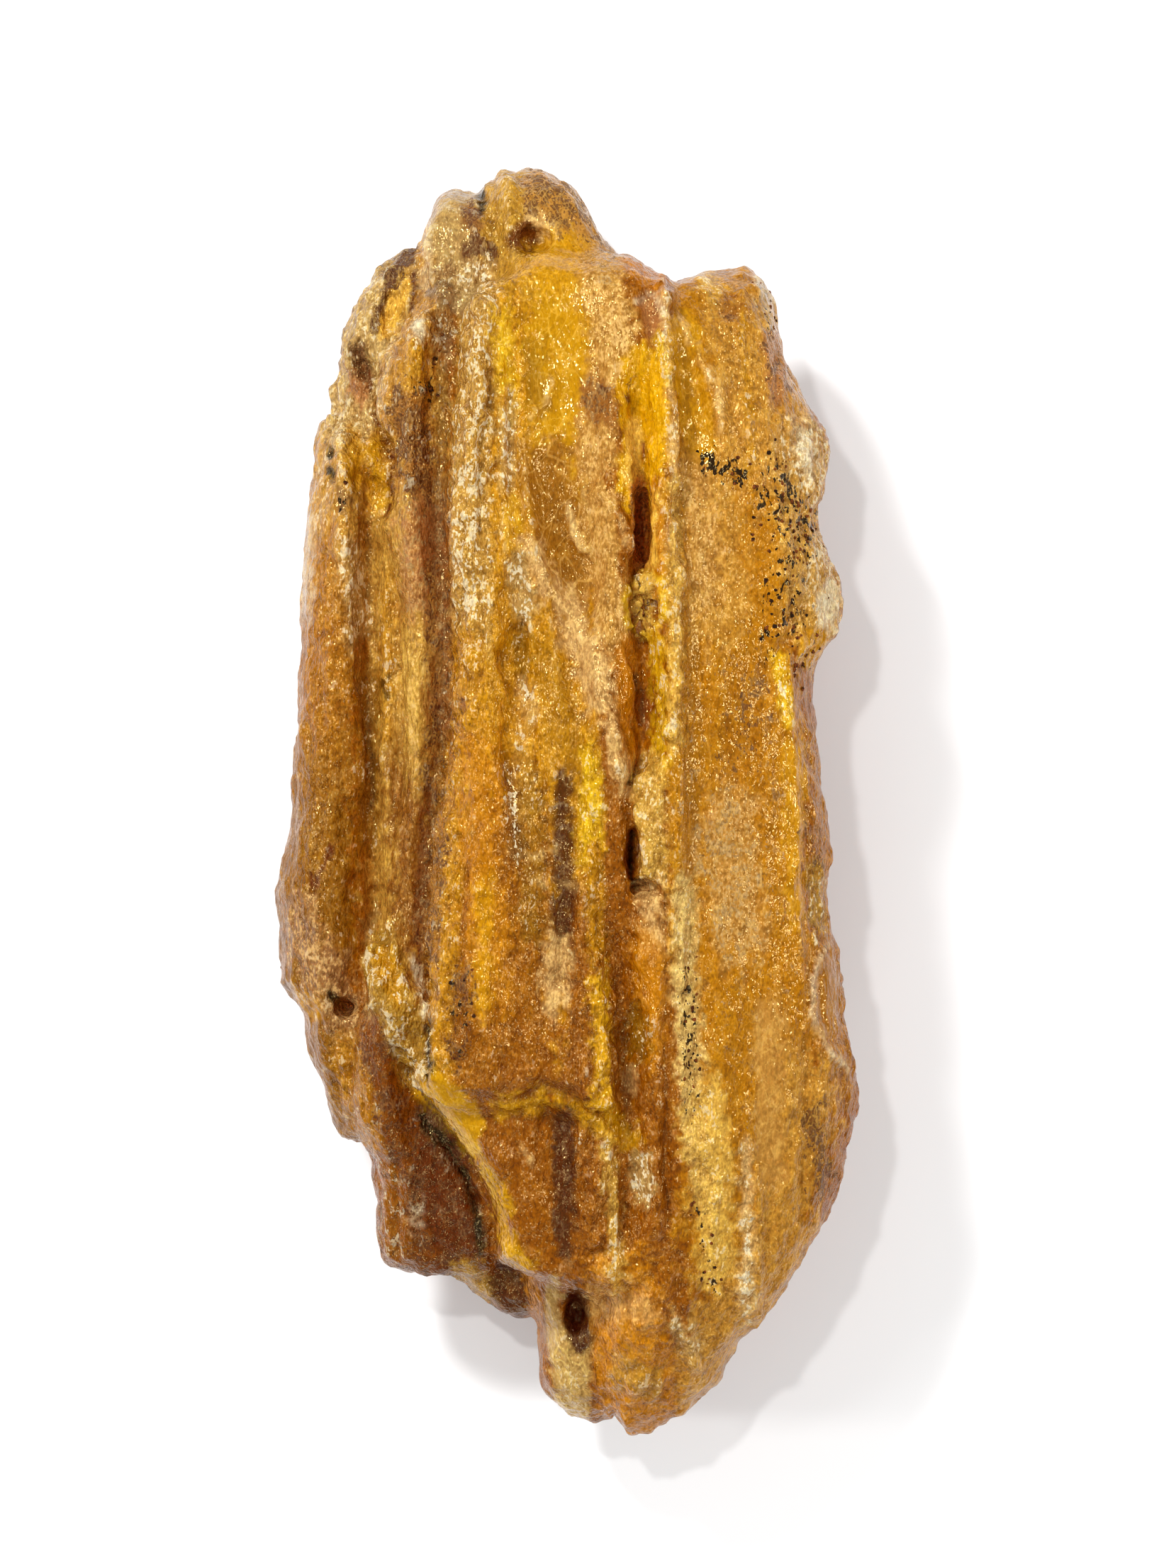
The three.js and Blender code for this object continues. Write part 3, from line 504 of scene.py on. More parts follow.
            (-13.5, 46), (-13.9, 36), (-14.1, 28), (-13.5, 20), (-13.2, 11), (-13.7, 4), (-14.6, -2),
            (-15.8, -12),
        ),
        0.8, Tone.MAROON, blend=0.3, soft=0.7, stain=0.4, dust=0.2,
    ),
    "middle pale": Patch(((-16.8, 16), (-16.6, 4)), 1.4, Tone.BRIGHT_GOLD, blend=0.5, soft=2, dust=0.3),
    "middle rib": Patch(((-19.4, 24), (-19.6, 8)), 0.8, Tone.GOLD, blend=0.6, gleam=0.5),
    "middle cracks": Patch(
        ((-18.6, 14.4), (-20.2, 12.8), (-19.6, 11.4)), 0.2, Tone.NEARLY_BLACK, blend=0.8, soft=0.4, lift=-0.4
    ),
    "terrace crack": Patch(
        ((-21.5, 47.4), (-21.3, 42.8), (-19.7, 39.2), (-18.9, 37.4), (-19.6, 31.4)),
        0.25, Tone.DARK_UMBER, soft=0.4, lift=-0.5,
    ),
    "terrace pocket": Patch(
        ((-23.4, 39), (-23.2, 36.4)), 1.1, Tone.CLEAR_YELLOW, blend=0.9, clear=0.5, lift=-0.4
    ),
    "terrace amber": Patch(((-21.2, 39), (-21, 33.6)), 0.9, Tone.YELLOW, blend=0.8, clear=0.3),
    "pit one": Patch(((-26, 38.4), (-25.9, 38.2)), 0.35, Tone.NEARLY_BLACK, soft=0.4, lift=-0.3),
    "pit two": Patch(((-26, 36.2), (-25.7, 35.9)), 0.4, Tone.NEARLY_BLACK, soft=0.4, lift=-0.5),
    "pit three": Patch(
        ((-24.6, 33.8), (-24.2, 32.6)), 0.6, Tone.STONE, blend=0.8, soft=0.6, lift=-0.3, speck=0.6
    ),
    # painted highlight on the glassy side
    "side glass": Patch(
        ((-28.2, 31), (-28.8, 21)), 0.6, Tone.HIGHLIGHT_WHITE, blend=0.45, soft=1.2, clear=0.9, rough=0.3
    ),
    "terrace gleam": Patch(((-23.6, 27), (-22.8, 19)), 1.3, Tone.STONE_GOLD, blend=0.7, soft=1.4, gleam=1.0),
    "terrace green": Patch(((-21.8, 12), (-22, -4)), 1.2, Tone.MOSS, blend=0.8, clear=0.4, gleam=0.4),
    "terrace umber": Patch(((-27, 2), (-26.4, -10)), 3.0, Tone.MOSS, blend=0.7, soft=2.4),
    "pores": Patch(((-28, -7.8), (-27.8, -9.6), (-25.8, -5.2)), 0.25, Tone.DARK_UMBER, soft=0.4, lift=-0.3),
    "grey milk": Patch(
        ((-29, -14.6), (-26.6, -18), (-24.4, -23)), 2.0, Tone.DUSK, blend=0.8, soft=2, dust=0.45
    ),
    "notch hole": Patch(((-25.8, -21.4), (-25.2, -21.6)), 0.4, Tone.NEARLY_BLACK, soft=0.4, lift=-0.4),
    "notch edge": Patch(
        ((-29.6, -21), (-27.6, -23.4)), 0.5, Tone.CLEAR_YELLOW, blend=0.9, clear=0.5, gleam=0.5
    ),
    "under the chip": Patch(((-21.4, -14), (-21, -22)), 0.8, Tone.STONE_GOLD, blend=0.6, gleam=0.6),
    "chip": Patch(
        ((-20.2, -17.4), (-18.6, -22), (-16.6, -28)),
        2.1, Tone.GREEN_GOLD, soft=0.6, clear=0.3, gleam=0.7, rough=1.2,
    ),
    "chip face": Patch(((-20, -17.6), (-18.8, -20)), 1.1, Tone.CLEAR_YELLOW, soft=0.8, clear=0.4, gleam=0.8),
    # painted highlight along the chip's edge
    "chip edge": Patch(
        ((-17, -17), (-15.6, -21), (-15, -24)), 0.35, Tone.HIGHLIGHT_WHITE, blend=0.6, soft=0.5, gleam=0.8
    ),
    "chip shadow": Patch(((-14.9, -24), (-14.9, -29.6)), 0.35, Tone.NEARLY_BLACK, soft=0.4, lift=-0.3),
    # near-black painted shade in the crevices below the chip; the first is also stained
    "dark crevice": Patch(((-15.6, -33.6), (-12.8, -38)), 1.1, Tone.NEARLY_BLACK, blend=0.7, stain=0.8),
    "back crevice": Patch(
        ((-15.6, -35), (-12.8, -38.4), (-10.9, -41.6), (-9.9, -45), (-9.4, -49)),
        0.5, Tone.NEARLY_BLACK, soft=0.5,
    ),
    # painted glow of light through the clear resin
    "amber run": Patch(((-8.8, -10), (-8.9, -22)), 0.9, Tone.GLOW_ORANGE, blend=0.45, soft=1.4, clear=0.5),
    "thin dark line": Patch(((-3.2, 4.8), (-3.2, 0.2)), 0.2, Tone.BROWN, blend=0.7, soft=0.5),
    "groove pit": Patch(
        ((-6.2, 3.4), (-6, -2), (-5.4, -6)), 0.6, Tone.BROWN, blend=0.5, soft=1.0, gleam=0.9
    ),
    "block glass low": Patch(
        ((-19.8, -41), (-19, -49.6)), 1.6, Tone.TAWNY, blend=0.4, soft=1.6, clear=0.6, gleam=0.5
    ),
    # painted highlight on the end facet
    "end facet": Patch(
        ((-16.6, -43.6), (-16.6, -46.4)), 0.35, Tone.HIGHLIGHT_WHITE, blend=0.4, clear=0.7, gleam=0.6
    ),
    "left flank": Patch(((-24, -28), (-22, -36)), 1.6, Tone.GOLD, blend=0.6, soft=1.4, gleam=0.5),
    # the lower end
    "back green": Patch(((-11.4, -52.6), (-9, -54)), 1.4, Tone.GREEN_GOLD, gleam=0.3),
    "back maroon": Patch(((-6.6, -53.4), (-5, -56)), 1.8, Tone.MAROON, blend=0.9),
    "foot window": Patch(
        ((0.6, -61), (0.6, -66.4)), 2.2, Tone.STRAW, blend=0.6, soft=0.8, clear=0.5, craze=0.8, gleam=0.5
    ),
    "foot hollow": Patch(((1.2, -55), (1.4, -58.6)), 1.3, Tone.MAROON, soft=0.5),
    "grey strip": Patch(((-1.4, -53), (-1.6, -59)), 0.8, Tone.STONE_GOLD, blend=0.9, soft=0.7, clear=0.6),
    "brown strip": Patch(((-3.8, -52.6), (-3.2, -59)), 0.8, Tone.AMBER, soft=0.8, clear=0.3),
    "bulb green": Patch(((6, -62.4), (9.6, -63.6)), 1.2, Tone.GREEN_GOLD, blend=0.7, gleam=0.4),
    "bulb fan": Patch(((3, -54.6), (9, -55.4)), 1.0, Tone.CREAM, blend=0.4, soft=1.4, craze=0.7),
    "bulb gleam": Patch(((12, -57), (14, -60)), 0.8, Tone.STONE_GOLD, blend=0.7, gleam=0.7),
}


# ---- the ridges, folds and grooves of the upper side ----

RIDGES: dict[str, Ridge] = {
    # the front sheet
    "rim crest": Ridge(
        (
            (-8.4, 55), (-9.4, 49), (-10.1, 42), (-10.9, 35), (-11.5, 28), (-11.8, 22), (-11.4, 14),
            (-11.9, 6), (-12.8, -2), (-13.6, -12), (-14.1, -22), (-15, -29),
        ),
        1.3, 0.8,
    ),
    "rim groove": Ridge(((-7.6, 52), (-8, 44), (-8.8, 36), (-9.3, 28), (-9.4, 20), (-9.2, 10)), 0.7, -0.6),
    "second crest": Ridge(
        ((-6.9, 56), (-7.2, 48), (-7.2, 42), (-6.8, 37), (-6.8, 30), (-7.4, 24)), 0.8, 0.6
    ),
    "glass groove": Ridge(
        ((-6.2, 52), (-5.9, 44), (-5.7, 36), (-5.5, 28), (-5.2, 20), (-4.9, 12)), 0.8, -0.4
    ),
    "trough border": Ridge(
        ((-5, 41.4), (-4.4, 33.6), (-4, 28.9), (-2.6, 24.2), (-1.9, 20.3), (-1.2, 15.7), (-0.7, 10.2)),
        0.5, 0.8, True,
    ),
    "milk fold": Ridge(((-2.6, 24.4), (1.4, 19), (3.4, 14.5), (4.8, 9), (6, 3)), 1.0, 0.5),
    "trough right border": Ridge(
        ((4.6, 50), (5.2, 41.4), (6.3, 36.7), (6.7, 32), (6.7, 27.3)), 0.5, 0.7, True
    ),
    "shell chip": Ridge(((0.3, 31.8), (0.8, 29.7), (1.6, 27.7), (2.3, 27.4)), 0.35, 0.6, True),
    "shell arch": Ridge(((1.9, 33.4), (4.4, 33.2), (5.8, 30.9), (6.7, 27.4)), 0.35, 0.45, True),
    "crescent chip": Ridge(((-1.6, 45.6), (-2.2, 43.6), (-3.7, 41.7)), 0.4, 0.5, True),
    "crackled hollow": Ridge(((-1.6, 36), (0.6, 28), (2.6, 22)), 2.2, -0.7),
    # its lower half
    "amber rib": Ridge(((-9.4, -4), (-8.8, -16), (-8.4, -30)), 1.1, 0.5),
    "pitted groove": Ridge(((-6.2, 16), (-6, 6), (-5.6, -1), (-5, -6)), 0.8, -0.9),
    "amber hollow": Ridge(((-4.6, -8), (-4.4, -24)), 1.4, -0.5),
    "column border": Ridge(((-1.6, 3), (-1.7, -8), (-1.5, -15)), 0.35, 0.5, True),
    "bright rib": Ridge(((2.4, 4), (2.7, -4), (2.8, -10)), 0.7, 0.7),
    "yellow rib": Ridge(((3.4, -17), (3.6, -25), (4.2, -33)), 0.6, 0.6),
    "thin rib": Ridge(((7.6, -24), (8, -33)), 0.4, 0.5, True),
    "amber column": Ridge(((9.2, -10), (9.6, -20), (9.6, -32)), 1.3, 0.5),
    "ledge edge": Ridge(((-8, -33.4), (-2.2, -32.2), (1, -33.4), (3.4, -35.4), (6.2, -36.6)), 0.7, 0.3),
    "glint rib": Ridge(((4.6, -38), (5.2, -46), (5.4, -53)), 0.6, 0.8, True),
    # the crevice and the ridge beside it
    "crevice right border": Ridge(
        ((10.8, 36), (10.4, 28), (11, 22), (11.6, 14), (11, 6), (10.6, 2)), 0.6, 0.6
    ),
    "ridge over the crevice": Ridge(((10.4, 57), (10.9, 48), (11.3, 40), (11.6, 34)), 0.5, 0.9, True),
    "pocket fold": Ridge(((5.8, 54.4), (7.8, 52.2), (8.6, 49), (8.2, 46.6)), 0.4, 0.6, True),
    "crease by the gold ridge": Ridge(((10.8, -8), (11, -20), (10.8, -32), (11.4, -46)), 0.45, -0.8, True),
    "gold ridge": Ridge(((12.2, 30), (12.2, 14), (12, 0), (12, -18), (12.2, -30), (13, -44)), 0.8, 0.6),
    # the right panel
    "plane border": Ridge(((13.1, 51.4), (15.6, 45.6), (16.9, 41.4), (17.2, 38.2)), 0.5, 0.6, True),
    "upper seam": Ridge(((19.2, 56), (19.4, 46), (20, 38), (19.8, 32)), 0.5, 0.6, True),
    "plane hollow": Ridge(((13.2, 48), (14.4, 40)), 1.6, -0.6),
    "lower step": Ridge(((19.8, -34), (20.6, -42), (20.8, -50), (20.9, -58)), 0.45, 0.6, True),
    "right crease": Ridge(((26.2, -26), (26.1, -36), (25.8, -46)), 0.45, -0.6, True),
    "panel rib one": Ridge(((16.2, 20), (16.4, 4), (16, -14), (16.4, -30)), 0.9, 0.25),
    "panel rib two": Ridge(((21.6, 10), (21.8, -8), (22.4, -26)), 0.9, 0.25),
    "edge gleam rib": Ridge(((24.2, 16), (24.8, 6), (25, -8), (25.6, -20)), 0.6, 0.4),
    # the terrace and the step beside it
    "terrace crest": Ridge(
        ((-24.4, 40), (-24, 30), (-24.2, 18), (-23.4, 6), (-23, -3), (-22.4, -15.5)), 0.9, 0.7
    ),
    "terrace outer rib": Ridge(((-28, 34), (-28, 20), (-28.4, 4), (-29.4, -10)), 1.2, 0.4),
    "terrace groove": Ridge(((-21.4, 36), (-21.6, 20), (-21.4, 4), (-21.2, -10), (-21.6, -16)), 0.8, -0.8),
    "middle crest": Ridge(((-19.6, 30), (-19.4, 14), (-19.4, -2), (-18.9, -14)), 0.6, 0.6),
    "middle groove": Ridge(((-18, 26), (-18, 4), (-17.9, -14)), 0.5, -0.5, True),
    "middle fold": Ridge(((-15.8, 52), (-16.6, 44), (-15.8, 36)), 1.2, 0.6),
    "terrace crack": Ridge(
        ((-21.5, 47.4), (-21.3, 42.8), (-19.7, 39.2), (-18.9, 37.4), (-19.6, 31.4)), 0.35, -0.7, True
    ),
    "chip gap": Ridge(((-14.9, -19), (-15, -25), (-15.6, -30)), 0.4, -1.0, True),
    "left fold": Ridge(((-22.8, -24), (-22.6, -36)), 0.9, 0.5),
    "left groove": Ridge(((-25.4, -26), (-25.2, -36)), 0.6, -0.6),
    "end groove": Ridge(((-18.8, -40), (-18.9, -50)), 0.6, -0.7),
    "end rib": Ridge(((-17.2, -40), (-17.2, -50)), 0.7, 0.5),
    "end groove two": Ridge(((-14.6, -38), (-14.4, -49)), 0.5, -0.6, True),
    "back crevice": Ridge(((-15.6, -35), (-12.8, -38.4), (-10.9, -41.6), (-9.9, -45)), 0.5, -1.2, True),
    "block right edge": Ridge(((-10.2, 66), (-10, 58)), 0.4, 0.5, True),
    # the upper and the lower end
    "crown rib": Ridge(((-6.4, 68), (-6.2, 64), (-6, 62)), 0.8, 0.5),
    "crown edge": Ridge(((-1, 67), (1, 64.6), (3.8, 61.4)), 0.7, 0.5),
    "block edge": Ridge(((-14.9, 65), (-14.8, 57)), 0.4, 0.6, True),
    "lobe fold": Ridge(((-20.6, 58.4), (-22.4, 54), (-23.4, 49)), 1.0, 0.5),
    "bulb edge": Ridge(((3.4, -54), (3, -58), (3.6, -62), (4.6, -67)), 0.5, 0.8, True),
    "bulb fold": Ridge(((12.4, -55), (13.4, -59), (14.6, -62)), 0.6, 0.5),
    "foot window edge": Ridge(((-2.6, -60.6), (-2.4, -65)), 0.6, 0.4),
}


# ---- noise and mesh mathematics ----


class GradientNoise:
    """Smooth noise of about -1 to 1 over three dimensions, the same on every run.

    TABLE is how many gradients there are, a power of 2, GAIN brings the values to that range,
    and LAYER_SHIFT keeps the layers of a layered noise apart.
    """

    TABLE = 256
    GAIN = 1.6
    LAYER_SHIFT = 17.3

    def __init__(self, seed: int) -> None:
        """Lay out the table of gradients.

        Args:
            seed: chooses the table.
        """
        draws = np.random.default_rng(seed)
        order = draws.permutation(self.TABLE)
        self.order = np.concatenate([order, order])
        vectors = draws.normal(size=(self.TABLE, 3))
        self.vectors = vectors / np.linalg.norm(vectors, axis=1, keepdims=True)

    def at(self, points: np.ndarray) -> np.ndarray:
        """The noise at each point.

        Args:
            points: an N by 3 array.

        Returns:
            N values.
        """
        last = self.TABLE - 1
        cell = np.floor(points).astype(int)
        inside = points - cell
        ease = inside**3 * (inside * (inside * 6 - 15) + 10)  # the usual smooth fade
        cell &= last
        total = np.zeros(len(points))
        for corner in np.ndindex(2, 2, 2):
            i, j, k = (cell + corner).T
            pick = self.order[(self.order[(self.order[i & last] + j) & last] + k) & last]
            reach = inside - corner
            share = np.prod(np.where(corner, ease, 1 - ease), axis=1)
            total += share * np.einsum("ij,ij->i", self.vectors[pick], reach)
        return total * self.GAIN

    def layered(self, points: np.ndarray, octaves: int, fade: float) -> np.ndarray:
        """Noise with finer and weaker noise on top.

        Args:
            points: an N by 3 array.
            octaves: how many layers.
            fade: how strong each layer is beside the one before it.

        Returns:
            N values.
        """
        total = np.zeros(len(points))
        strength = 1.0
        for octave in range(octaves):
            total += strength * self.at(points * 2**octave + self.LAYER_SHIFT * octave)
            strength *= fade
        return total


@dataclass(frozen=True)
class Swell:
    """Noise that varies over the lump.

    pace is how many swells there are in a millimetre along each axis, shift picks another part
    of the noise, and height is its strength. One that billows has rounded tops and sharp
    valleys, and is about 0 on average.
    """

    BILLOW_GAIN = 2.2
    BILLOW_DROP = 0.7

    pace: Triple
    shift: float
    height: float
    octaves: int = 2
    fade: float = 0.5
    billows: bool = False

    def over(self, points: np.ndarray, noise: GradientNoise) -> np.ndarray:
        """The swell at each point.

        Args:
            points: an N by 3 array.
            noise: what it is made from.

        Returns:
            N values.
        """
        value = noise.layered(points * self.pace + self.shift, self.octaves, self.fade)
        if self.billows:
            value = self.BILLOW_GAIN * np.abs(value) - self.BILLOW_DROP
        return self.height * value


def smooth_step(values: np.ndarray, window: Window) -> np.ndarray:
    """0 below the window, 1 above it and smooth between.

    Args:
        values: any array.
        window: where the step starts and where it ends.

    Returns:
        An array like values.
    """
    low, high = window
    t = np.clip((values - low) / (high - low), 0, 1)
    return t * t * (3 - 2 * t)


def distance_to_line(places: np.ndarray, line: Line) -> np.ndarray:
    """How far each place is from a line of straight stretches.

    Args:
        places: an N by 2 array.
        line: the line's corners.

    Returns:
        N distances.
    """
    nearest = np.full(len(places), np.inf)
    for start, end in zip(line, line[1:]):
        a, b = np.array(start, float), np.array(end, float)
        along = np.clip((places - a) @ (b - a) / max(float((b - a) @ (b - a)), TINY), 0, 1)
        nearest = np.minimum(nearest, np.linalg.norm(places - a - along[:, None] * (b - a), axis=1))
    return nearest


class Surface:
    """The points, normals and edges of a mesh as arrays, in millimetres."""

    def __init__(self, mesh: bpy.types.Mesh) -> None:
        """Read the mesh.

        Args:
            mesh: a mesh in metres.
        """
        self.mesh = mesh
        count = len(mesh.vertices)
        flat = np.empty(count * 3, np.float32)
        mesh.vertices.foreach_get("co", flat)
        self.points = flat.reshape(-1, 3).astype(float) / MM
        ends = np.empty(len(mesh.edges) * 2, np.int32)
        mesh.edges.foreach_get("vertices", ends)
        self.ends = ends.reshape(-1, 2)
        self.degree = np.bincount(self.ends.ravel(), minlength=count)[:, None]

    def write(self) -> None:
        """Put the points back in the mesh."""
        self.mesh.vertices.foreach_set("co", (self.points * MM).astype(np.float32).ravel())
        self.mesh.update()

    def normals(self) -> np.ndarray:
        """Write the points back and read the normals.

        Returns:
            The normal at each point, as an N by 3 array.
        """
        self.write()
        flat = np.empty(len(self.mesh.vertices) * 3, np.float32)
        self.mesh.vertices.foreach_get("normal", flat)
        return flat.reshape(-1, 3).astype(float)

    def averaged(self, rounds: int, pull: float = 0.5) -> np.ndarray:
        """The points drawn towards the average of their neighbours.

        Args:
            rounds: how many times.
            pull: how far each time.

        Returns:
            The evened points.
        """
        evened = self.points.copy()
        a, b = self.ends.T
        for _ in range(rounds):
            total = np.empty_like(evened)
            for k in range(3):
                column = np.bincount(a, evened[b, k], len(evened))
                total[:, k] = column + np.bincount(b, evened[a, k], len(evened))
            evened += pull * (total / self.degree - evened)
        return evened

    def bulge(self, normals: np.ndarray, rounds: int) -> np.ndarray:
        """How far each point stands out from the evened surface, below 0 in a hollow.

        Args:
            normals: the normal at each point.
            rounds: how often the surface is evened.

        Returns:
            N lengths.
        """
        return np.einsum("ij,ij->i", self.points - self.averaged(rounds), normals)

    def store(self, mask: Mask, values: np.ndarray) -> None:
        """Keep values from 0 to 1 as a vertex attribute."""
        attribute = self.mesh.attributes.new(mask.value, "FLOAT", "POINT")
        attribute.data.foreach_set("value", np.clip(values, 0, 1).astype(np.float32))


def bake_modifiers(piece: bpy.types.Object) -> None:
    """Turn the result of an object's modifiers into its own plain mesh.

    Args:
        piece: an object with modifiers, which are taken off.
    """
    seen = piece.evaluated_get(bpy.context.evaluated_depsgraph_get())
    mesh = bpy.data.meshes.new_from_object(seen)
    piece.modifiers.clear()
    piece.data = mesh
    mesh.name = piece.name


# ---- shader nodes ----


class Grain(Enum):
    """The outputs of the shared grain group, each from 0 to 1."""

    FIBRES = "Fibres"
    GRANULES = "Granules"
    CRACKS = "Cracks"
    WEB = "Web"
    MOTTLE = "Mottle"
    FLECKS = "Flecks"


Values = dict[Grain | Mask, bpy.types.NodeSocket]
Weights = tuple[tuple[Grain | Mask, float], ...]


@dataclass(frozen=True)
class Texture:
    """The settings of a noise texture over places in millimetres.

    squeeze is its pace down the lump beside its pace across it, so below 1 its grains are
    longer down the lump.
    """

    scale: float
    detail: float = 0.0
    rough: float = 0.55
    squeeze: float = 1.0


class Nodes:
    """Short ways to add and join the nodes of one tree."""

    def __init__(self, tree: bpy.types.NodeTree) -> None:
        """Start on a tree."""
        self.tree = tree

    def add(self, kind: str, given: Inputs | None = None, **settings: object) -> bpy.types.Node:
        """Add a node and fill in its inputs.

        Args:
            kind: the node's type name.
            given: a plain value, or an output to join, for inputs by their name or number.
            settings: the node's properties.

        Returns:
            The node.
        """
        node = self.tree.nodes.new(kind)
        for name, value in settings.items():
            setattr(node, name, value)
        for key, value in (given or {}).items():
            if isinstance(value, bpy.types.NodeSocket):
                self.tree.links.new(value, node.inputs[key])
            else:
                node.inputs[key].default_value = value
        return node

    def maths(self, operation: str, *values: object) -> bpy.types.NodeSocket:
        """A Math node's output."""
        return self.add("ShaderNodeMath", dict(enumerate(values)), operation=operation).outputs[0]

    def vector(self, operation: str, *values: object) -> bpy.types.NodeSocket:
        """A Vector Math node's output."""
        given = dict(enumerate(values))
        return self.add("ShaderNodeVectorMath", given, operation=operation).outputs[0]

    def mixed(self, values: Values, weights: Weights) -> bpy.types.NodeSocket:
        """The sum of some grains and masks, each times its weight.

        Args:
            values: every grain and mask.
            weights: those that count, with how much they do.

        Returns:
            The sum.
        """
        total = 0.0
        for part, weight in weights:
            total = self.maths("MULTIPLY_ADD", values[part], weight, total)
        return total

    def times(self, first: object, *others: object) -> bpy.types.NodeSocket:
        """The product of some values.

        Args:
            first: a value.
            others: what it is multiplied by.

        Returns:
            The product.
        """
        product = first
        for value in others:
            product = self.maths("MULTIPLY", product, value)
        return product

    def between(self, value: object, window: Window) -> bpy.types.NodeSocket:
        """How far a value has come through a window, smoothly, from 0 to 1.

        Args:
            value: what is measured.
            window: the values that give 0 and 1, in either order.

        Returns:
            The share.
        """
        given = {0: value, 1: window[0], 2: window[1]}
        return self.add("ShaderNodeMapRange", given, interpolation_type="SMOOTHSTEP").outputs[0]

    def ranged(self, share: object, window: Window) -> bpy.types.NodeSocket:
        """A share of 0 to 1 as a value from the first of the window to the second."""
        return self.maths("MULTIPLY_ADD", share, window[1] - window[0], window[0])

    def blend(self, share: object, below: object, above: object) -> bpy.types.NodeSocket:
        """A colour with another laid over it.

        Args:
            share: how much of the upper colour shows.
            below: the lower colour.
            above: the upper colour.

        Returns:
            The mixed colour.
        """
        first, second, result = 6, 7, 2  # the colour sockets, whose names repeat
        given = {"Factor": share, first: below, second: above}
        return self.add("ShaderNodeMix", given, data_type="RGBA").outputs[result]

    def scaled(self, vector: object, by: object) -> bpy.types.NodeSocket:
        """A colour or a vector times a number."""
        given = {0: vector, "Scale": by}
        return self.add("ShaderNodeVectorMath", given, operation="SCALE").outputs[0]

    def squeezed(self, place: object, squeeze: float) -> bpy.types.NodeSocket:
        """A place with its distance down the lump made shorter."""
        return self.vector("MULTIPLY", place, (1.0, squeeze, 1.0))

    def noise(self, place: object, texture: Texture, output: str = "Fac") -> bpy.types.NodeSocket:
        """A noise texture.

        Args:
            place: where it is read, in millimetres.
            texture: its settings.
            output: Fac for a value, Color for three.

        Returns:
            That output.
        """
        if texture.squeeze != 1:
            place = self.squeezed(place, texture.squeeze)
        given = {
            "Vector": place,
            "Scale": texture.scale,
            "Detail": texture.detail,
            "Roughness": texture.rough,
        }
        return self.add("ShaderNodeTexNoise", given).outputs[output]

    def edges(self, place: object, scale: float) -> bpy.types.NodeSocket:
        """The distance to the nearest border between the cells of a Voronoi texture."""
        given = {"Vector": place, "Scale": scale}
        return self.add("ShaderNodeTexVoronoi", given, feature="DISTANCE_TO_EDGE").outputs[0]

    def attribute(self, name: str, output: str = "Fac") -> bpy.types.NodeSocket:
        """A vertex attribute's value, or with Vector its three values."""
        return self.add("ShaderNodeAttribute", attribute_name=name).outputs[output]

    def millimetres(self, metres: bpy.types.NodeSocket) -> bpy.types.NodeSocket:
        """A place in metres as millimetres."""
        return self.scaled(metres, 1 / MM)


@dataclass(frozen=True)
class Hair:
    """Hair cracks along the middle level of a noise.

    width is how far from that level they start to show, core the part of it where they are
    full, and mottled the window of the mottle through which they come in.
    """

    texture: Texture
    width: float
    mottled: Window
    core: float = 0.25

    def draw(self, n: Nodes, place: object, mottle: object) -> bpy.types.NodeSocket:
        """Add the nodes that draw the cracks.

        Args:
            n: the tree's nodes.
            place: where they are read.
            mottle: the mottle's value.

        Returns:
            1 on a crack and 0 beside it.
        """
        apart = n.maths("SUBTRACT", n.noise(place, self.texture), MIDDLE)
        apart = n.maths("ABSOLUTE", apart)
        hair = n.between(apart, (self.width, self.width * self.core))
        return n.maths("MULTIPLY", hair, n.between(mottle, self.mottled))


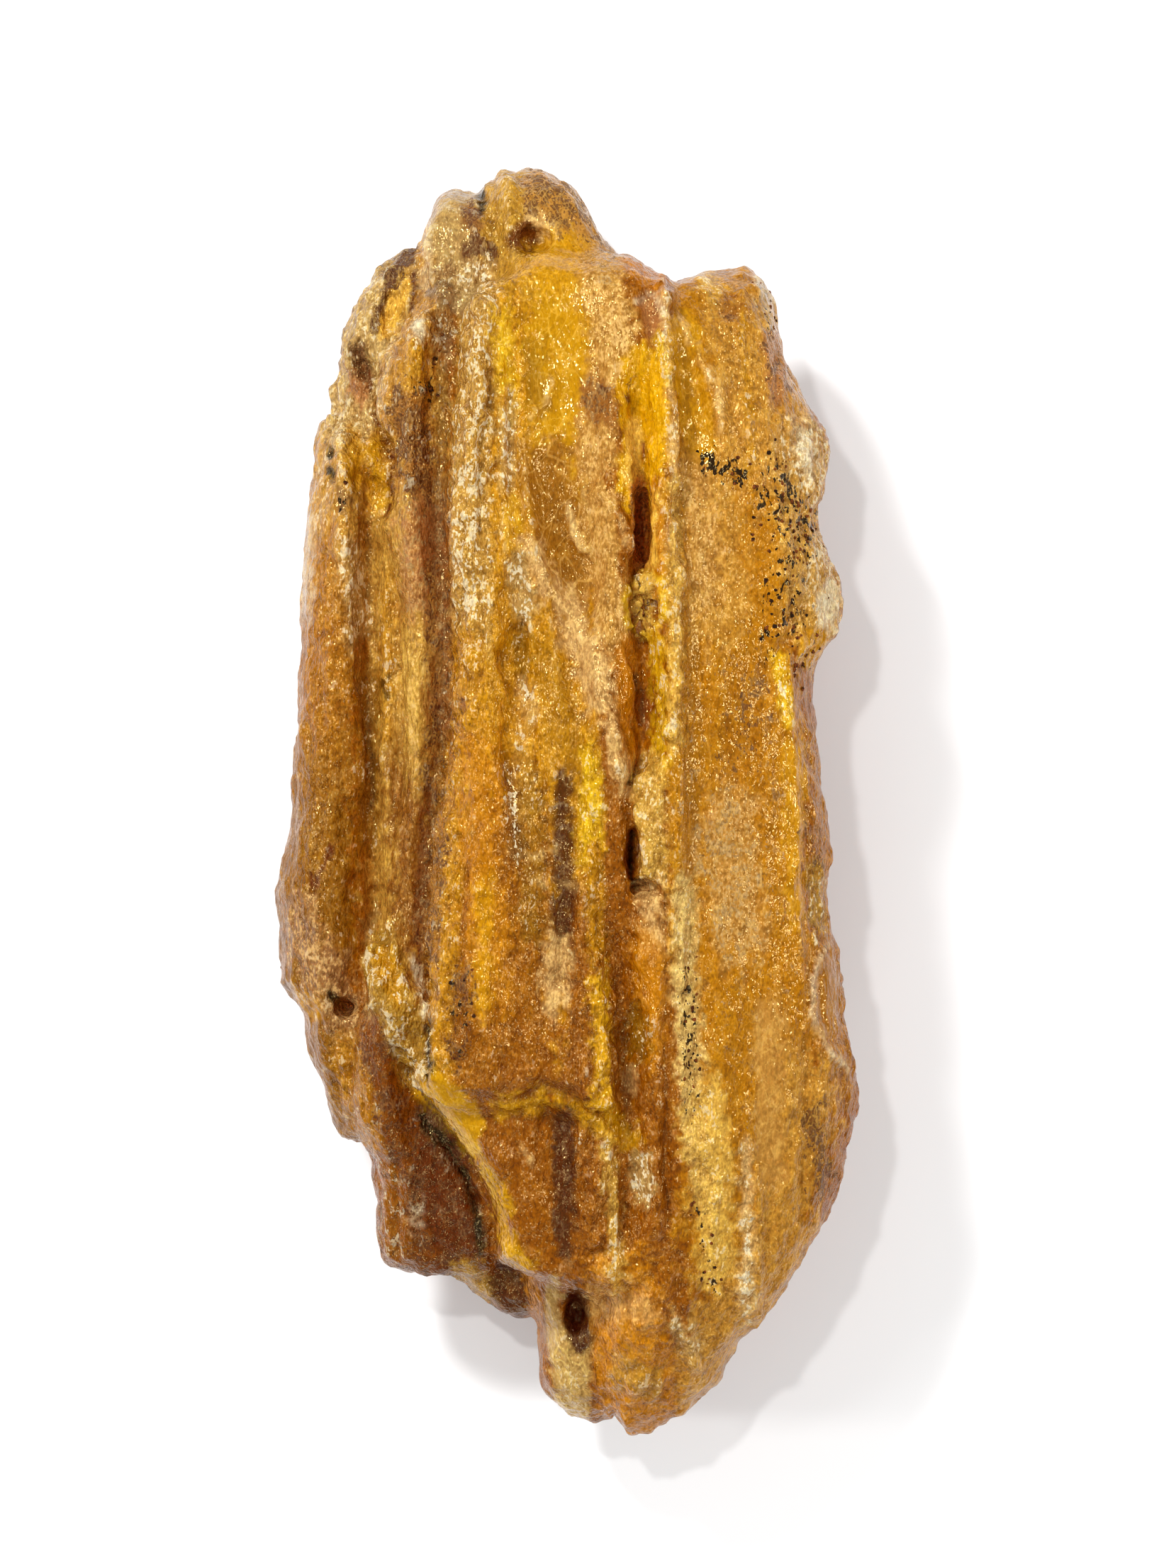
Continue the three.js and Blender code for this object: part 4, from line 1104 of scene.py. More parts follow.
@dataclass(frozen=True)
class FlowGrain:
    """The grain that resin and bark share, drawn out down the lump as the resin ran."""

    fibres: Texture = Texture(1.1, 2.0, 0.62)
    granules: Texture = Texture(3.2, 1.0, 0.7, 0.55)
    mottle: Texture = Texture(0.5, 3.0, 0.72)
    flecks: Texture = Texture(1.5, 2.0, 0.65, 0.6)
    wander: Texture = Texture(0.16, 0.0, 0.5)
    wander_reach: float = 5.0
    long_hair: Hair = Hair(Texture(0.5, squeeze=0.35), 0.022, (0.45, 0.51))
    curled_hair: Hair = Hair(Texture(0.9, 1.0, 0.6, 0.6), 0.03, (0.49, 0.55))
    fuzz: Hair = Hair(Texture(2.1, squeeze=0.5), 0.04, (0.45, 0.51))
    fuzz_strength: float = 0.75
    web_scale: float = 0.42
    web_squeeze: float = 0.45
    web_line: Window = (0.044, 0.014)
    web_mottled: Window = (0.3, 0.44)

    def build(self) -> bpy.types.NodeTree:
        """Make the shader group.

        Returns:
            A group with the inputs Place, in millimetres, and Stretch, which says how much
            longer the fibres are down the lump than across it, and the outputs of Grain.
        """
        group = bpy.data.node_groups.new("flow grain", "ShaderNodeTree")
        face = group.interface
        face.new_socket("Place", in_out="INPUT", socket_type="NodeSocketVector")
        face.new_socket("Stretch", in_out="INPUT", socket_type="NodeSocketFloat")
        for part in Grain:
            face.new_socket(part.value, in_out="OUTPUT", socket_type="NodeSocketFloat")
        n = Nodes(group)
        given = n.add("NodeGroupInput").outputs
        place = given["Place"]
        drift = n.scaled(n.noise(place, self.wander, "Color"), self.wander_reach)
        bent = n.vector("ADD", place, drift)
        paces = {0: 1.0, 1: n.maths("DIVIDE", 1.0, given["Stretch"]), 2: 1.0}
        drawn = n.vector("MULTIPLY", bent, n.add("ShaderNodeCombineXYZ", paces).outputs[0])

        mottle = n.noise(place, self.mottle)
        web = n.between(n.edges(n.squeezed(bent, self.web_squeeze), self.web_scale), self.web_line)
        long_hair = self.long_hair.draw(n, bent, mottle)
        curled_hair = self.curled_hair.draw(n, place, mottle)
        fuzz = n.maths("MULTIPLY", self.fuzz.draw(n, place, mottle), self.fuzz_strength)
        results = {
            Grain.FIBRES: n.noise(drawn, self.fibres),
            Grain.GRANULES: n.noise(place, self.granules),
            Grain.CRACKS: n.maths("MAXIMUM", n.maths("MAXIMUM", long_hair, curled_hair), fuzz),
            Grain.WEB: n.maths("MULTIPLY", web, n.between(mottle, self.web_mottled)),
            Grain.MOTTLE: mottle,
            Grain.FLECKS: n.noise(place, self.flecks),
        }
        n.add("NodeGroupOutput", {part.value: result for part, result in results.items()})
        return group


class GrainyMaterial:
    """A new material that holds the shared grain group."""

    def __init__(self, name: str, grain: bpy.types.NodeTree, stretch: float) -> None:
        """Start the material.

        Args:
            name: what it is called.
            grain: the shared group.
            stretch: how much longer its fibres are down the lump than across it.
        """
        self.material = bpy.data.materials.new(name)
        self.material.use_nodes = True
        self.material.node_tree.nodes.clear()
        self.nodes = Nodes(self.material.node_tree)
        place = self.nodes.add("ShaderNodeTexCoord").outputs["Object"]
        self.place = self.nodes.millimetres(place)
        given = {"Place": self.place, "Stretch": stretch}
        flow = self.nodes.add("ShaderNodeGroup", given, node_tree=grain)
        self.values: Values = {part: flow.outputs[part.value] for part in Grain}

    def dress(self, given: Inputs, bump: Inputs, volume: object = None) -> bpy.types.Material:
        """Add the shader, the bump and the output.

        Args:
            given: the shader's inputs.
            bump: the bump's inputs.
            volume: what fills the inside, if anything does.

        Returns:
            The finished material.
        """
        n = self.nodes
        normal = n.add("ShaderNodeBump", bump).outputs[0]
        shader = n.add("ShaderNodeBsdfPrincipled", {**given, "Normal": normal})
        ends = {"Surface": shader.outputs[0]}
        if volume:
            ends["Volume"] = volume
        n.add("ShaderNodeOutputMaterial", ends)
        return self.material


@dataclass(frozen=True)
class Overlay:
    """A thin layer of one tone over the resin, in grains.

    It lies where the sum of the weighted grains and masks comes through window, and only as
    far as its own mask lets it: with a gate, as the mask comes through that, and without one,
    in proportion to the mask, from least upwards.
    """

    tone: Tone
    mask: Mask
    weights: Weights
    window: Window
    gate: Window | None = None
    least: float = 0.0
    strength: float = 1.0

    def cover(self, n: Nodes, values: Values) -> bpy.types.NodeSocket:
        """How fully the layer covers each place, before its strength.

        Args:
            n: the material's nodes.
            values: the grains and the masks.

        Returns:
            A share of 0 to 1.
        """
        grains = n.between(n.mixed(values, self.weights), self.window)
        mask = values[self.mask]
        allowed = n.between(mask, self.gate) if self.gate else n.ranged(mask, (self.least, 1.0))
        return n.maths("MULTIPLY", grains, allowed)

    def lay(self, n: Nodes, colour: object, cover: object) -> bpy.types.NodeSocket:
        """A colour with the layer over it."""
        return n.blend(n.maths("MULTIPLY", cover, self.strength), colour, self.tone.paint)


@dataclass(frozen=True)
class ResinFinish:
    """Cloudy, dusty honey resin: see-through, with painted glints on the ribs and painted shade in the
    hollows.

    A pair whose name ends in clarity holds how strong something is where the resin is clear
    and where it is clouded.
    """

    # what light does in it
    transmission: float = 0.5
    ior: float = 1.54
    specular: float = 0.25
    sheen_tint: Triple = (1.0, 0.74, 0.3)
    depth_tint: Triple = (0.985, 0.83, 0.01)
    depth_density: float = 130.0

    # broad light and dark, from noise around its middle
    stretch: float = 2.4
    blotches: Weights = ((Grain.MOTTLE, 0.4), (Grain.FIBRES, 0.35), (Grain.GRANULES, 0.25))
    dark_window: Window = (0.5, 0.39)
    light_window: Window = (0.5, 0.61)
    dark_strength: float = 0.6
    light_strength: float = 0.7
    blotch_clarity: Window = (0.35, 1.0)
    shade: Triple = (0.5, 0.4, 0.25)
    lift: Triple = (1.36, 1.44, 1.4)
    haze: Triple = (0.04, 0.035, 0.004)

    # painted shade, a darker and redder colour, in the hollows, and painted highlight, a paler colour, on
    # the crests
    hollow: Triple = (0.6, 0.47, 0.3)
    hollow_shade_clarity: Window = (0.25, 0.7)
    patches: Weights = ((Grain.MOTTLE, 0.65), (Grain.GRANULES, 0.35))
    crest_highlight_window: Window = (0.38, 0.56)
    crest_highlight_strength: float = 0.4

    # cracks, and the fine grains all over
    crack_strength: float = 0.45
    web_strength: float = 0.7
    crack_lift: Triple = (1.35, 1.5, 1.3)
    crack_haze: Triple = (0.15, 0.12, 0.05)
    grain_clarity: Window = (0.4, 1.0)

    # how smooth it is, and the skin's fine relief
    smoothest: float = 0.05
    grain_roughness: float = 0.2
    gloss_clarity: Window = (0.25, 1.0)
    dulling: float = 0.32
    relief: float = 1.0
    skin: Texture = Texture(1.3, 2.0, 0.6, 0.55)
    skin_height: Window = (0.15, 1.15)

    stain: Overlay = Overlay(
        Tone.MAROON,
        Mask.STAIN,
        ((Grain.MOTTLE, 0.65), (Grain.GRANULES, 0.35), (Mask.STAIN, 0.2)),
        window=(0.595, 0.625),
        gate=(0.02, 0.3),
        strength=0.85,
    )
    dust: Overlay = Overlay(
        Tone.CREAM,
        Mask.DUST,
        ((Grain.MOTTLE, 0.5), (Grain.GRANULES, 0.5), (Mask.DUST, 0.16)),
        window=(0.54, 0.68),
        gate=(0.0, 0.5),
        strength=0.6,
    )
    # painted highlights: whitish glints laid into the colour, strongest where the gleam mask is, faint
    # everywhere else
    glints: Overlay = Overlay(
        Tone.HIGHLIGHT_WHITE,
        Mask.GLEAM,
        (
            (Grain.MOTTLE, 0.42),
            (Grain.FLECKS, 0.42),
            (Grain.GRANULES, 0.26),
            (Mask.GLEAM, 0.09),
            (Mask.CREST, 0.04),
        ),
        window=(0.655, 0.69),
        least=0.15,
    )
    specks: Overlay = Overlay(
        Tone.NEARLY_BLACK,
        Mask.SPECK,
        ((Grain.FLECKS, 1.0), (Mask.SPECK, 0.26)),
        window=(0.7, 0.74),
        gate=(0.05, 0.3),
    )
    crust: Overlay = Overlay(
        Tone.BROWN,
        Mask.CRUST,
        ((Grain.MOTTLE, 1.0),),
        window=(0.3, 0.6),
        strength=0.8,
    )

    def build(self, grain: bpy.types.NodeTree) -> bpy.types.Material:
        """Make the material.

        Args:
            grain: the shared grain group.

        Returns:
            The material.
        """
        base = GrainyMaterial("copal resin", grain, self.stretch)
        n, values = base.nodes, base.values
        values.update({mask: n.attribute(mask.value) for mask in Mask})
        tint = n.attribute(TINT, "Vector")
        clouded = n.maths("SUBTRACT", 1.0, values[Mask.CLEAR])

        stained = self.stain.cover(n, values)
        dusty = self.dust.cover(n, values)
        crusty = self.crust.cover(n, values)
        colour = self.cloudy(n, values, tint, clouded)
        colour = self.stain.lay(n, colour, stained)
        colour = self.dust.lay(n, colour, dusty)
        # painted highlights: the glints
        colour = self.glints.lay(n, colour, self.glints.cover(n, values))
        hair = n.maths("MULTIPLY", values[Grain.CRACKS], self.crack_strength)
        web = n.maths("MULTIPLY", values[Grain.WEB], values[Mask.CRAZE])
        hair = n.maths("MULTIPLY_ADD", web, self.web_strength, hair)
        pale = n.vector("MULTIPLY_ADD", tint, self.crack_lift, self.crack_haze)
        colour = n.blend(hair, colour, pale)
        colour = self.specks.lay(n, colour, self.specks.cover(n, values))
        uneven = n.maths("SUBTRACT", values[Grain.GRANULES], MIDDLE)
        grainy = n.ranged(clouded, self.grain_clarity)
        colour = n.scaled(colour, n.maths("MULTIPLY_ADD", uneven, grainy, 1.0))
        colour = self.crust.lay(n, colour, crusty)

        skin = n.noise(base.place, self.skin)
        height = n.maths("MULTIPLY", skin, n.ranged(values[Mask.COARSE], self.skin_height))
        inside = {"Color": (*self.depth_tint, 1), "Density": self.depth_density}
        depth = n.add("ShaderNodeVolumeAbsorption", inside)
        given = {
            "Base Color": colour,
            "Roughness": self.roughness(n, values, clouded, (dusty, stained, crusty)),
            "IOR": self.ior,
            "Specular IOR Level": self.specular,
            "Specular Tint": (*self.sheen_tint, 1),
            "Transmission Weight": self.transmission,
        }
        bump = {"Strength": self.relief, "Distance": MM, "Height": height}
        return base.dress(given, bump, depth.outputs[0])

    def cloudy(self, n: Nodes, values: Values, tint: object, clouded: object) -> bpy.types.NodeSocket:
        """The resin's colour, with its random light and dark, painted shade in its hollows and painted
        highlight on its crests.

        Args:
            n: the material's nodes.
            values: the grains and the masks.
            tint: the colour painted on the mesh.
            clouded: how clouded the resin is.

        Returns:
            The colour.
        """
        blotch = n.mixed(values, self.blotches)
        cloud = n.ranged(clouded, self.blotch_clarity)
        dark = n.times(n.between(blotch, self.dark_window), cloud, self.dark_strength)
        light = n.times(n.between(blotch, self.light_window), cloud, self.light_strength)
        pale = n.vector("MULTIPLY_ADD", tint, self.lift, self.haze)
        colour = n.blend(dark, tint, n.vector("MULTIPLY", tint, self.shade))
        colour = n.blend(light, colour, pale)
        # painted shade: a darker, redder colour in the hollows
        hollow_darkening = n.maths("MULTIPLY", values[Mask.HOLLOW], n.ranged(clouded, self.hollow_shade_clarity))
        colour = n.blend(hollow_darkening, colour, n.vector("MULTIPLY", colour, self.hollow))
        # painted highlight: a paler colour on the crests
        patchy = n.between(n.mixed(values, self.patches), self.crest_highlight_window)
        crest_highlight = n.times(values[Mask.CREST], patchy, self.crest_highlight_strength)
        return n.blend(crest_highlight, colour, pale)

    def roughness(
        self, n: Nodes, values: Values, clouded: object, covers: tuple[object, ...]
    ) -> bpy.types.NodeSocket:
        """How rough the resin is, duller under what covers it.

        Args:
            n: the material's nodes.
            values: the grains and the masks.
            clouded: how clouded the resin is.
            covers: how fully each dull layer covers it.

        Returns:
            The roughness.
        """
        granules = values[Grain.GRANULES]
        rough = n.maths("MULTIPLY_ADD", granules, self.grain_roughness, self.smoothest)
        rough = n.maths("MULTIPLY", rough, n.ranged(clouded, self.gloss_clarity))
        for cover in covers:
            rough = n.maths("ADD", rough, n.maths("MULTIPLY", cover, self.dulling))
        return n.maths("MAXIMUM", rough, self.smoothest)


# ---- the lump ----


@dataclass
class CopalLump:
    """The whole lump, with its fine surface and its colours.

    A name that ends in window holds where a smooth step starts and where it ends.
    """

    # the mesh
    voxel: float = 0.46
    weld_reach: float = 0.001
    thin_below: float = -0.1
    smoothing: int = 3
    triangles: int = 196_000

    # the skin: rough ribs and knobs, chipped edges, and the flat side that it rests on
    bend: Swell = Swell((0.09, 0.05, 0.09), 0, 1.6)
    ribs: Swell = Swell((0.36, 0.045, 0.36), 3, 0.24, billows=True)
    fine_ribs: Swell = Swell((0.8, 0.14, 0.8), 11, 0.1, billows=True)
    knobs: Swell = Swell((0.34, 0.2, 0.34), 31, 0.42, octaves=3, billows=True)
    grit: Swell = Swell((1.2, 0.8, 1.2), 57, 0.12)
    chips: Swell = Swell((0.35, 0.35, 0.35), 5, 1.0)
    chip_window: Window = (0.1, 0.5)
    chip_depth: float = 0.6
    edge_rounds: int = 14
    edge_window: Window = (0.05, 0.4)
    flank_roughness: float = 0.55
    coarsest: float = 2.0
    resting_window: Window = (0.4, 1.2)
    last_pull: float = 0.2

    # the drawn ridges and patches
    relief_window: Window = (-0.1, 0.35)
    wobble: Swell = Swell((0.5, 0.22, 0.5), 70, 0.45)
    waxing: Swell = Swell((0.3, 0.16, 0.3), 90, 0.5, octaves=1)
    sharp_fall: float = 1.2
    brush_stretch: float = 0.6
    streaks: Swell = Swell((0.8, 0.14, 0.8), 40, 0.45, octaves=3, fade=0.6)
    grains: Swell = Swell((0.9, 0.9, 0.9), 60, 0.7, octaves=3, fade=0.6)

    # the colours and masks
    paint_window: Window = (-0.05, 0.3)
    fading: float = 0.5
    # the masks of painted shade in hollows and fine valleys, of painted highlight on crests and of painted
    # glints on bulges
    shading_rounds: int = 24
    hollow_shade_window: Window = (0.05, 0.9)
    bulge_window: Window = (0.15, 0.8)
    bulge_gleam: float = 0.6
    crest_rounds: int = 5
    crest_window: Window = (0.02, 0.14)
    valley_shade_strength: float = 0.8
    crust_window: Window = (-0.7, 0.1)

    noise: GradientNoise = field(default_factory=lambda: GradientNoise(seed=7))

    def build(self, node: bpy.types.Object, finish: bpy.types.Material) -> bpy.types.Object:
        """Make the lump from the solid in the frame.

        Args:
            node: the solid's object, which stays as it is.
            finish: the resin.

        Returns:
            The finished piece.
        """
        piece = self.fine_copy(node)
        surface = Surface(piece.data)
        surface.points = surface.averaged(self.smoothing)
        self.raise_relief(surface)
        self.paint(surface)
        piece.data.materials.append(finish)
        piece.data.shade_smooth()
        return piece

    def fine_copy(self, node: bpy.types.Object) -> bpy.types.Object:
        """A copy of the solid with an even mesh of small faces, fewer of them on the bark side.

        Args:
            node: the solid's object.

        Returns:
            A new object at the origin.
        """
        piece = bpy.data.objects.new("copal_body", node.data.copy())
        piece.data.materials.clear()
        bpy.context.scene.collection.objects.link(piece)
        weld = piece.modifiers.new("weld", "WELD")
        weld.merge_threshold = self.weld_reach * MM
        remesh = piece.modifiers.new("remesh", "REMESH")
        remesh.mode = "VOXEL"
        remesh.voxel_size = self.voxel * MM
        bake_modifiers(piece)
        normals = Surface(piece.data).normals()
        thin = piece.vertex_groups.new(name="thin")
        thin.add(np.nonzero(normals[:, 2] < self.thin_below)[0].tolist(), 1.0, "REPLACE")
        decimate = piece.modifiers.new("thin", "DECIMATE")
        four_sided = len(piece.data.polygons)
        decimate.ratio = self.triangles / (2 * four_sided)
        decimate.vertex_group = thin.name
        decimate.vertex_group_factor = 1.0
        bake_modifiers(piece)
        piece.vertex_groups.clear()
        return piece

    def raise_relief(self, surface: Surface) -> None:
        """Add the features, the ridges, the skin and the chipped edges, and keep how rough it is.

        Args:
            surface: the lump's surface, which is changed.
        """
        points = surface.points
        normals = surface.normals()
        front = smooth_step(normals[:, 2], self.relief_window)
        fringe = self.fringe(points)
        height = np.zeros(len(points))
        rough = np.full(len(points), self.flank_roughness)
        for patch in (*ZONES.values(), *FEATURES.values()):
            if not patch.lift and patch.rough is None:
                continue
            share = self.share(patch, points, fringe) * front
            height += patch.lift * share
            if patch.rough is not None:
                rough += share * (patch.rough - rough)
        height += self.ridge_height(points) * front
        height += rough * self.skin(points)
        edges = smooth_step(surface.bulge(normals, self.edge_rounds), self.edge_window)
        chips = edges * smooth_step(self.chips.over(points, self.noise), self.chip_window)
        height -= self.chip_depth * chips
        resting = smooth_step(points[:, 2], self.resting_window)
        surface.store(Mask.COARSE, rough / self.coarsest)
        surface.points = points + (height * resting)[:, None] * normals
        surface.points = surface.averaged(1, self.last_pull)
        surface.points[:, 2] = np.maximum(surface.points[:, 2], 0)
        surface.write()

    def skin(self, points: np.ndarray) -> np.ndarray:
        """The height of the ribs, knobs and grit at each point, where the roughness is 1.

        Args:
            points: an N by 3 array.

        Returns:
            N heights.
        """
        bent = points + self.bend.over(points, self.noise)[:, None] * (1, 0, 1)
        skin = sum(swell.over(bent, self.noise) for swell in (self.ribs, self.fine_ribs, self.knobs))
        return skin + self.grit.over(points, self.noise)

    def ridge_height(self, points: np.ndarray) -> np.ndarray:
        """How far the named ridges stand up, or the grooves lie sunk, at each point.

        Args:
            points: an N by 3 array.

        Returns:
            N heights.
        """
        places = points[:, :2].copy()
        places[:, 0] += self.wobble.over(points, self.noise)
        height = np.zeros(len(points))
        for ridge in RIDGES.values():
            off = distance_to_line(places, ridge.line) / ridge.width
            height += ridge.height * np.exp(-self.sharp_fall * off if ridge.sharp else -off * off)
        return height * (1 + self.waxing.over(points, self.noise))

    def fringe(self, points: np.ndarray) -> np.ndarray:
        """Unevenness for the borders of the patches: streaks down the lump and small grains."""
        return self.streaks.over(points, self.noise) + self.grains.over(points, self.noise)

    def share(self, patch: Patch, points: np.ndarray, fringe: np.ndarray) -> np.ndarray:
        """How strongly a patch covers each point, from 0 to 1.

        Args:
            patch: the patch, whose brush reaches further down the lump than across it.
            points: an N by 3 array.
            fringe: the unevenness of borders at each point.

        Returns:
            N shares.
        """
        squeezed = points[:, :2] * (1, self.brush_stretch)
        line = tuple((x, y * self.brush_stretch) for x, y in patch.line)
        off = distance_to_line(squeezed, line) + patch.soft * fringe
        return 1 - smooth_step(off, (patch.width - patch.soft / 2, patch.width + patch.soft / 2))

    def paint(self, surface: Surface) -> None:
        """Lay the tones and the masks on the mesh as vertex attributes.

        Args:
            surface: the lump's finished surface.
        """
        points = surface.points
        normals = surface.normals()
        front = smooth_step(normals[:, 2], self.paint_window)
        tint = np.tile(np.array(Tone.DEEP_HONEY.linear), (len(points), 1))
        masks = {mask: np.zeros(len(points)) for mask in Mask if mask is not Mask.COARSE}
        fringe = self.fringe(points)
        for patch in (*ZONES.values(), *FEATURES.values()):
            share = self.share(patch, points, fringe) * front
            if patch.tone:
                tint += (share * patch.blend)[:, None] * (np.array(patch.tone.linear) - tint)
            for mask in (Mask.DUST, Mask.STAIN, Mask.SPECK, Mask.CLEAR, Mask.GLEAM, Mask.CRAZE):
                kept = masks[mask] * (1 - self.fading * share)
                masks[mask] = np.maximum(kept, share * getattr(patch, mask.value))
        # painted shade in the hollows and fine valleys, painted highlight on the crests and painted glints
        # on the bulges
        bulge = surface.bulge(normals, self.shading_rounds)
        crest = surface.bulge(normals, self.crest_rounds)
        valley_shade = self.valley_shade_strength * smooth_step(-crest, self.crest_window)
        gleam = self.bulge_gleam * smooth_step(bulge, self.bulge_window) * front
        masks[Mask.HOLLOW] = np.maximum(smooth_step(-bulge, self.hollow_shade_window), valley_shade)
        masks[Mask.CREST] = smooth_step(crest, self.crest_window) * front
        masks[Mask.GLEAM] = np.maximum(masks[Mask.GLEAM], gleam)
        masks[Mask.CRUST] = 1 - smooth_step(normals[:, 2], self.crust_window)
        attribute = surface.mesh.attributes.new(TINT, "FLOAT_VECTOR", "POINT")
        attribute.data.foreach_set("vector", tint.astype(np.float32).ravel())
        for mask, values in masks.items():
            surface.store(mask, values)


# ---- crumbs of bark ----


@dataclass(frozen=True)
class BarkFinish:
    """Dry bark: nearly black, a little browner where the grain is coarse, and dull."""

    stretch: float = 2.0
    brown_window: Window = (0.42, 0.62)
    roughness: float = 0.85
    specular: float = 0.05
    relief: float = 0.6
    relief_height: float = 0.1

    def build(self, grain: bpy.types.NodeTree) -> bpy.types.Material:
        """Make the material.

        Args:
            grain: the shared grain group.

        Returns:
            The material.
        """
        base = GrainyMaterial("dry bark", grain, self.stretch)
        n, values = base.nodes, base.values
        brown = n.between(values[Grain.FIBRES], self.brown_window)
        given = {
            "Base Color": n.blend(brown, Tone.NEARLY_BLACK.paint, Tone.BROWN.paint),
            "Roughness": self.roughness,
            "Specular IOR Level": self.specular,
        }
        bump = {
            "Strength": self.relief,
            "Distance": self.relief_height * MM,
            "Height": values[Grain.GRANULES],
        }
        return base.dress(given, bump)


@dataclass(frozen=True)
class BarkCrumbs:
    """Small flat crumbs of bark, half sunk in the resin where the speck mask is strong.

    thickness is beside their width, raggedness how far their corners are pushed, and
    push_gain brings the noise that pushes them to about its full reach.
    """

    smallest: float = 0.1
    largest: float = 0.32
    thickness: float = 0.5
    per_square: float = 5.0
    raggedness: float = 0.12
    seed: int = 11
    clumps: Texture = Texture(0.7, 2.0)
    clump_window: Window = (0.5, 0.62)
    push: Texture = Texture(3.0, 2.0, 0.5)
    push_gain: float = 4.0

    def build(self, lump: bpy.types.Object, finish: bpy.types.Material) -> bpy.types.Object:
        """Scatter the crumbs over the lump and turn them into a plain mesh.

        Args:
            lump: the finished lump, which carries the speck mask.
            finish: the bark.

        Returns:
            The crumbs, as one piece.
        """
        sizes = {
            "Smallest": self.smallest * MM,
            "Largest": self.largest * MM,
            "Thickness": self.thickness,
            "Density": self.per_square / MM**2,
            "Raggedness": self.raggedness * MM,
            "Seed": self.seed,
        }
        tree = self.build_tree(finish, sizes)
        piece = bpy.data.objects.new("bark_crumbs", lump.data.copy())
        bpy.context.scene.collection.objects.link(piece)
        modifier = piece.modifiers.new("crumbs", "NODES")
        modifier.node_group = tree
        for item in tree.interface.items_tree:
            if item.name in sizes:
                modifier[item.identifier] = sizes[item.name]
        bake_modifiers(piece)
        return piece

    def build_tree(self, finish: bpy.types.Material, sizes: Inputs) -> bpy.types.NodeTree:
        """Make the node tree that scatters the crumbs.

        Args:
            finish: the material that the crumbs get.
            sizes: the names and values of the tree's inputs.

        Returns:
            The tree, with an input for each size.
        """
        tree = bpy.data.node_groups.new("scatter crumbs", "GeometryNodeTree")
        face = tree.interface
        for way in ("INPUT", "OUTPUT"):
            face.new_socket("Geometry", in_out=way, socket_type="NodeSocketGeometry")
        for name, value in sizes.items():
            kind = "NodeSocketInt" if isinstance(value, int) else "NodeSocketFloat"
            face.new_socket(name, in_out="INPUT", socket_type=kind)
        n = Nodes(tree)
        given = n.add("NodeGroupInput").outputs
        whole = self.scatter(n, given)
        place = n.millimetres(n.add("GeometryNodeInputPosition").outputs[0])
        push = n.vector("SUBTRACT", n.noise(place, self.push, "Color"), (MIDDLE, MIDDLE, MIDDLE))
        push = n.scaled(push, n.maths("MULTIPLY", given["Raggedness"], self.push_gain))
        ragged = n.add("GeometryNodeSetPosition", {"Geometry": whole, "Offset": push})
        inputs = {"Geometry": ragged.outputs[0], "Material": finish}
        dressed = n.add("GeometryNodeSetMaterial", inputs)
        n.add("NodeGroupOutput", {"Geometry": dressed.outputs[0]})
        return tree

    def scatter(self, n: Nodes, given: bpy.types.NodeOutputs) -> bpy.types.NodeSocket:
        """Add the nodes that put flat lumps over a mesh, thickest in clumps.

        Args:
            n: the tree's nodes.
            given: the tree's inputs.

        Returns:
            The lumps as one mesh.
        """
        least, most, result = 2, 3, 1  # the number sockets, whose names repeat
        mask = n.add("GeometryNodeInputNamedAttribute", {"Name": Mask.SPECK.value}, data_type="FLOAT")
        place = n.millimetres(n.add("GeometryNodeInputPosition").outputs[0])
        clumps = n.between(n.noise(place, self.clumps), self.clump_window)
        density = n.times(mask.outputs[0], clumps, given["Density"])
        inputs = {"Mesh": given["Geometry"], "Density": density, "Seed": given["Seed"]}
        points = n.add("GeometryNodeDistributePointsOnFaces", inputs, distribute_method="RANDOM")
        crumb = n.add("GeometryNodeMeshIcoSphere", {"Radius": 1.0, "Subdivisions": 1})
        inputs = {least: given["Smallest"], most: given["Largest"], "Seed": given["Seed"]}
        size = n.add("FunctionNodeRandomValue", inputs, data_type="FLOAT").outputs[result]
        flat = n.maths("MULTIPLY", size, given["Thickness"])
        inputs = {
            "Points": points.outputs["Points"],
            "Instance": crumb.outputs["Mesh"],
            "Rotation": points.outputs["Rotation"],
            "Scale": n.add("ShaderNodeCombineXYZ", {0: size, 1: size, 2: flat}).outputs[0],
        }
        placed = n.add("GeometryNodeInstanceOnPoints", inputs)
        return n.add("GeometryNodeRealizeInstances", {0: placed.outputs[0]}).outputs[0]


# ---- camera, floor and light ----


@dataclass(frozen=True)
class Lamp:
    """A soft rectangular light that faces the lump: its place, width and height, and its watts."""

    name: str
    place: Triple
    size: tuple[float, float]
    power: float

    def build(self) -> None:
        """Add the light to the scene."""
        data = bpy.data.lights.new(self.name, "AREA")
        data.shape = "RECTANGLE"
        data.size, data.size_y = self.size[0] * MM, self.size[1] * MM
        data.energy = self.power
        lamp = bpy.data.objects.new(self.name, data)
        lamp.location = Vector(self.place) * MM
        lamp.rotation_euler = (-Vector(self.place)).to_track_quat("-Z", "Y").to_euler()
        bpy.context.scene.collection.objects.link(lamp)


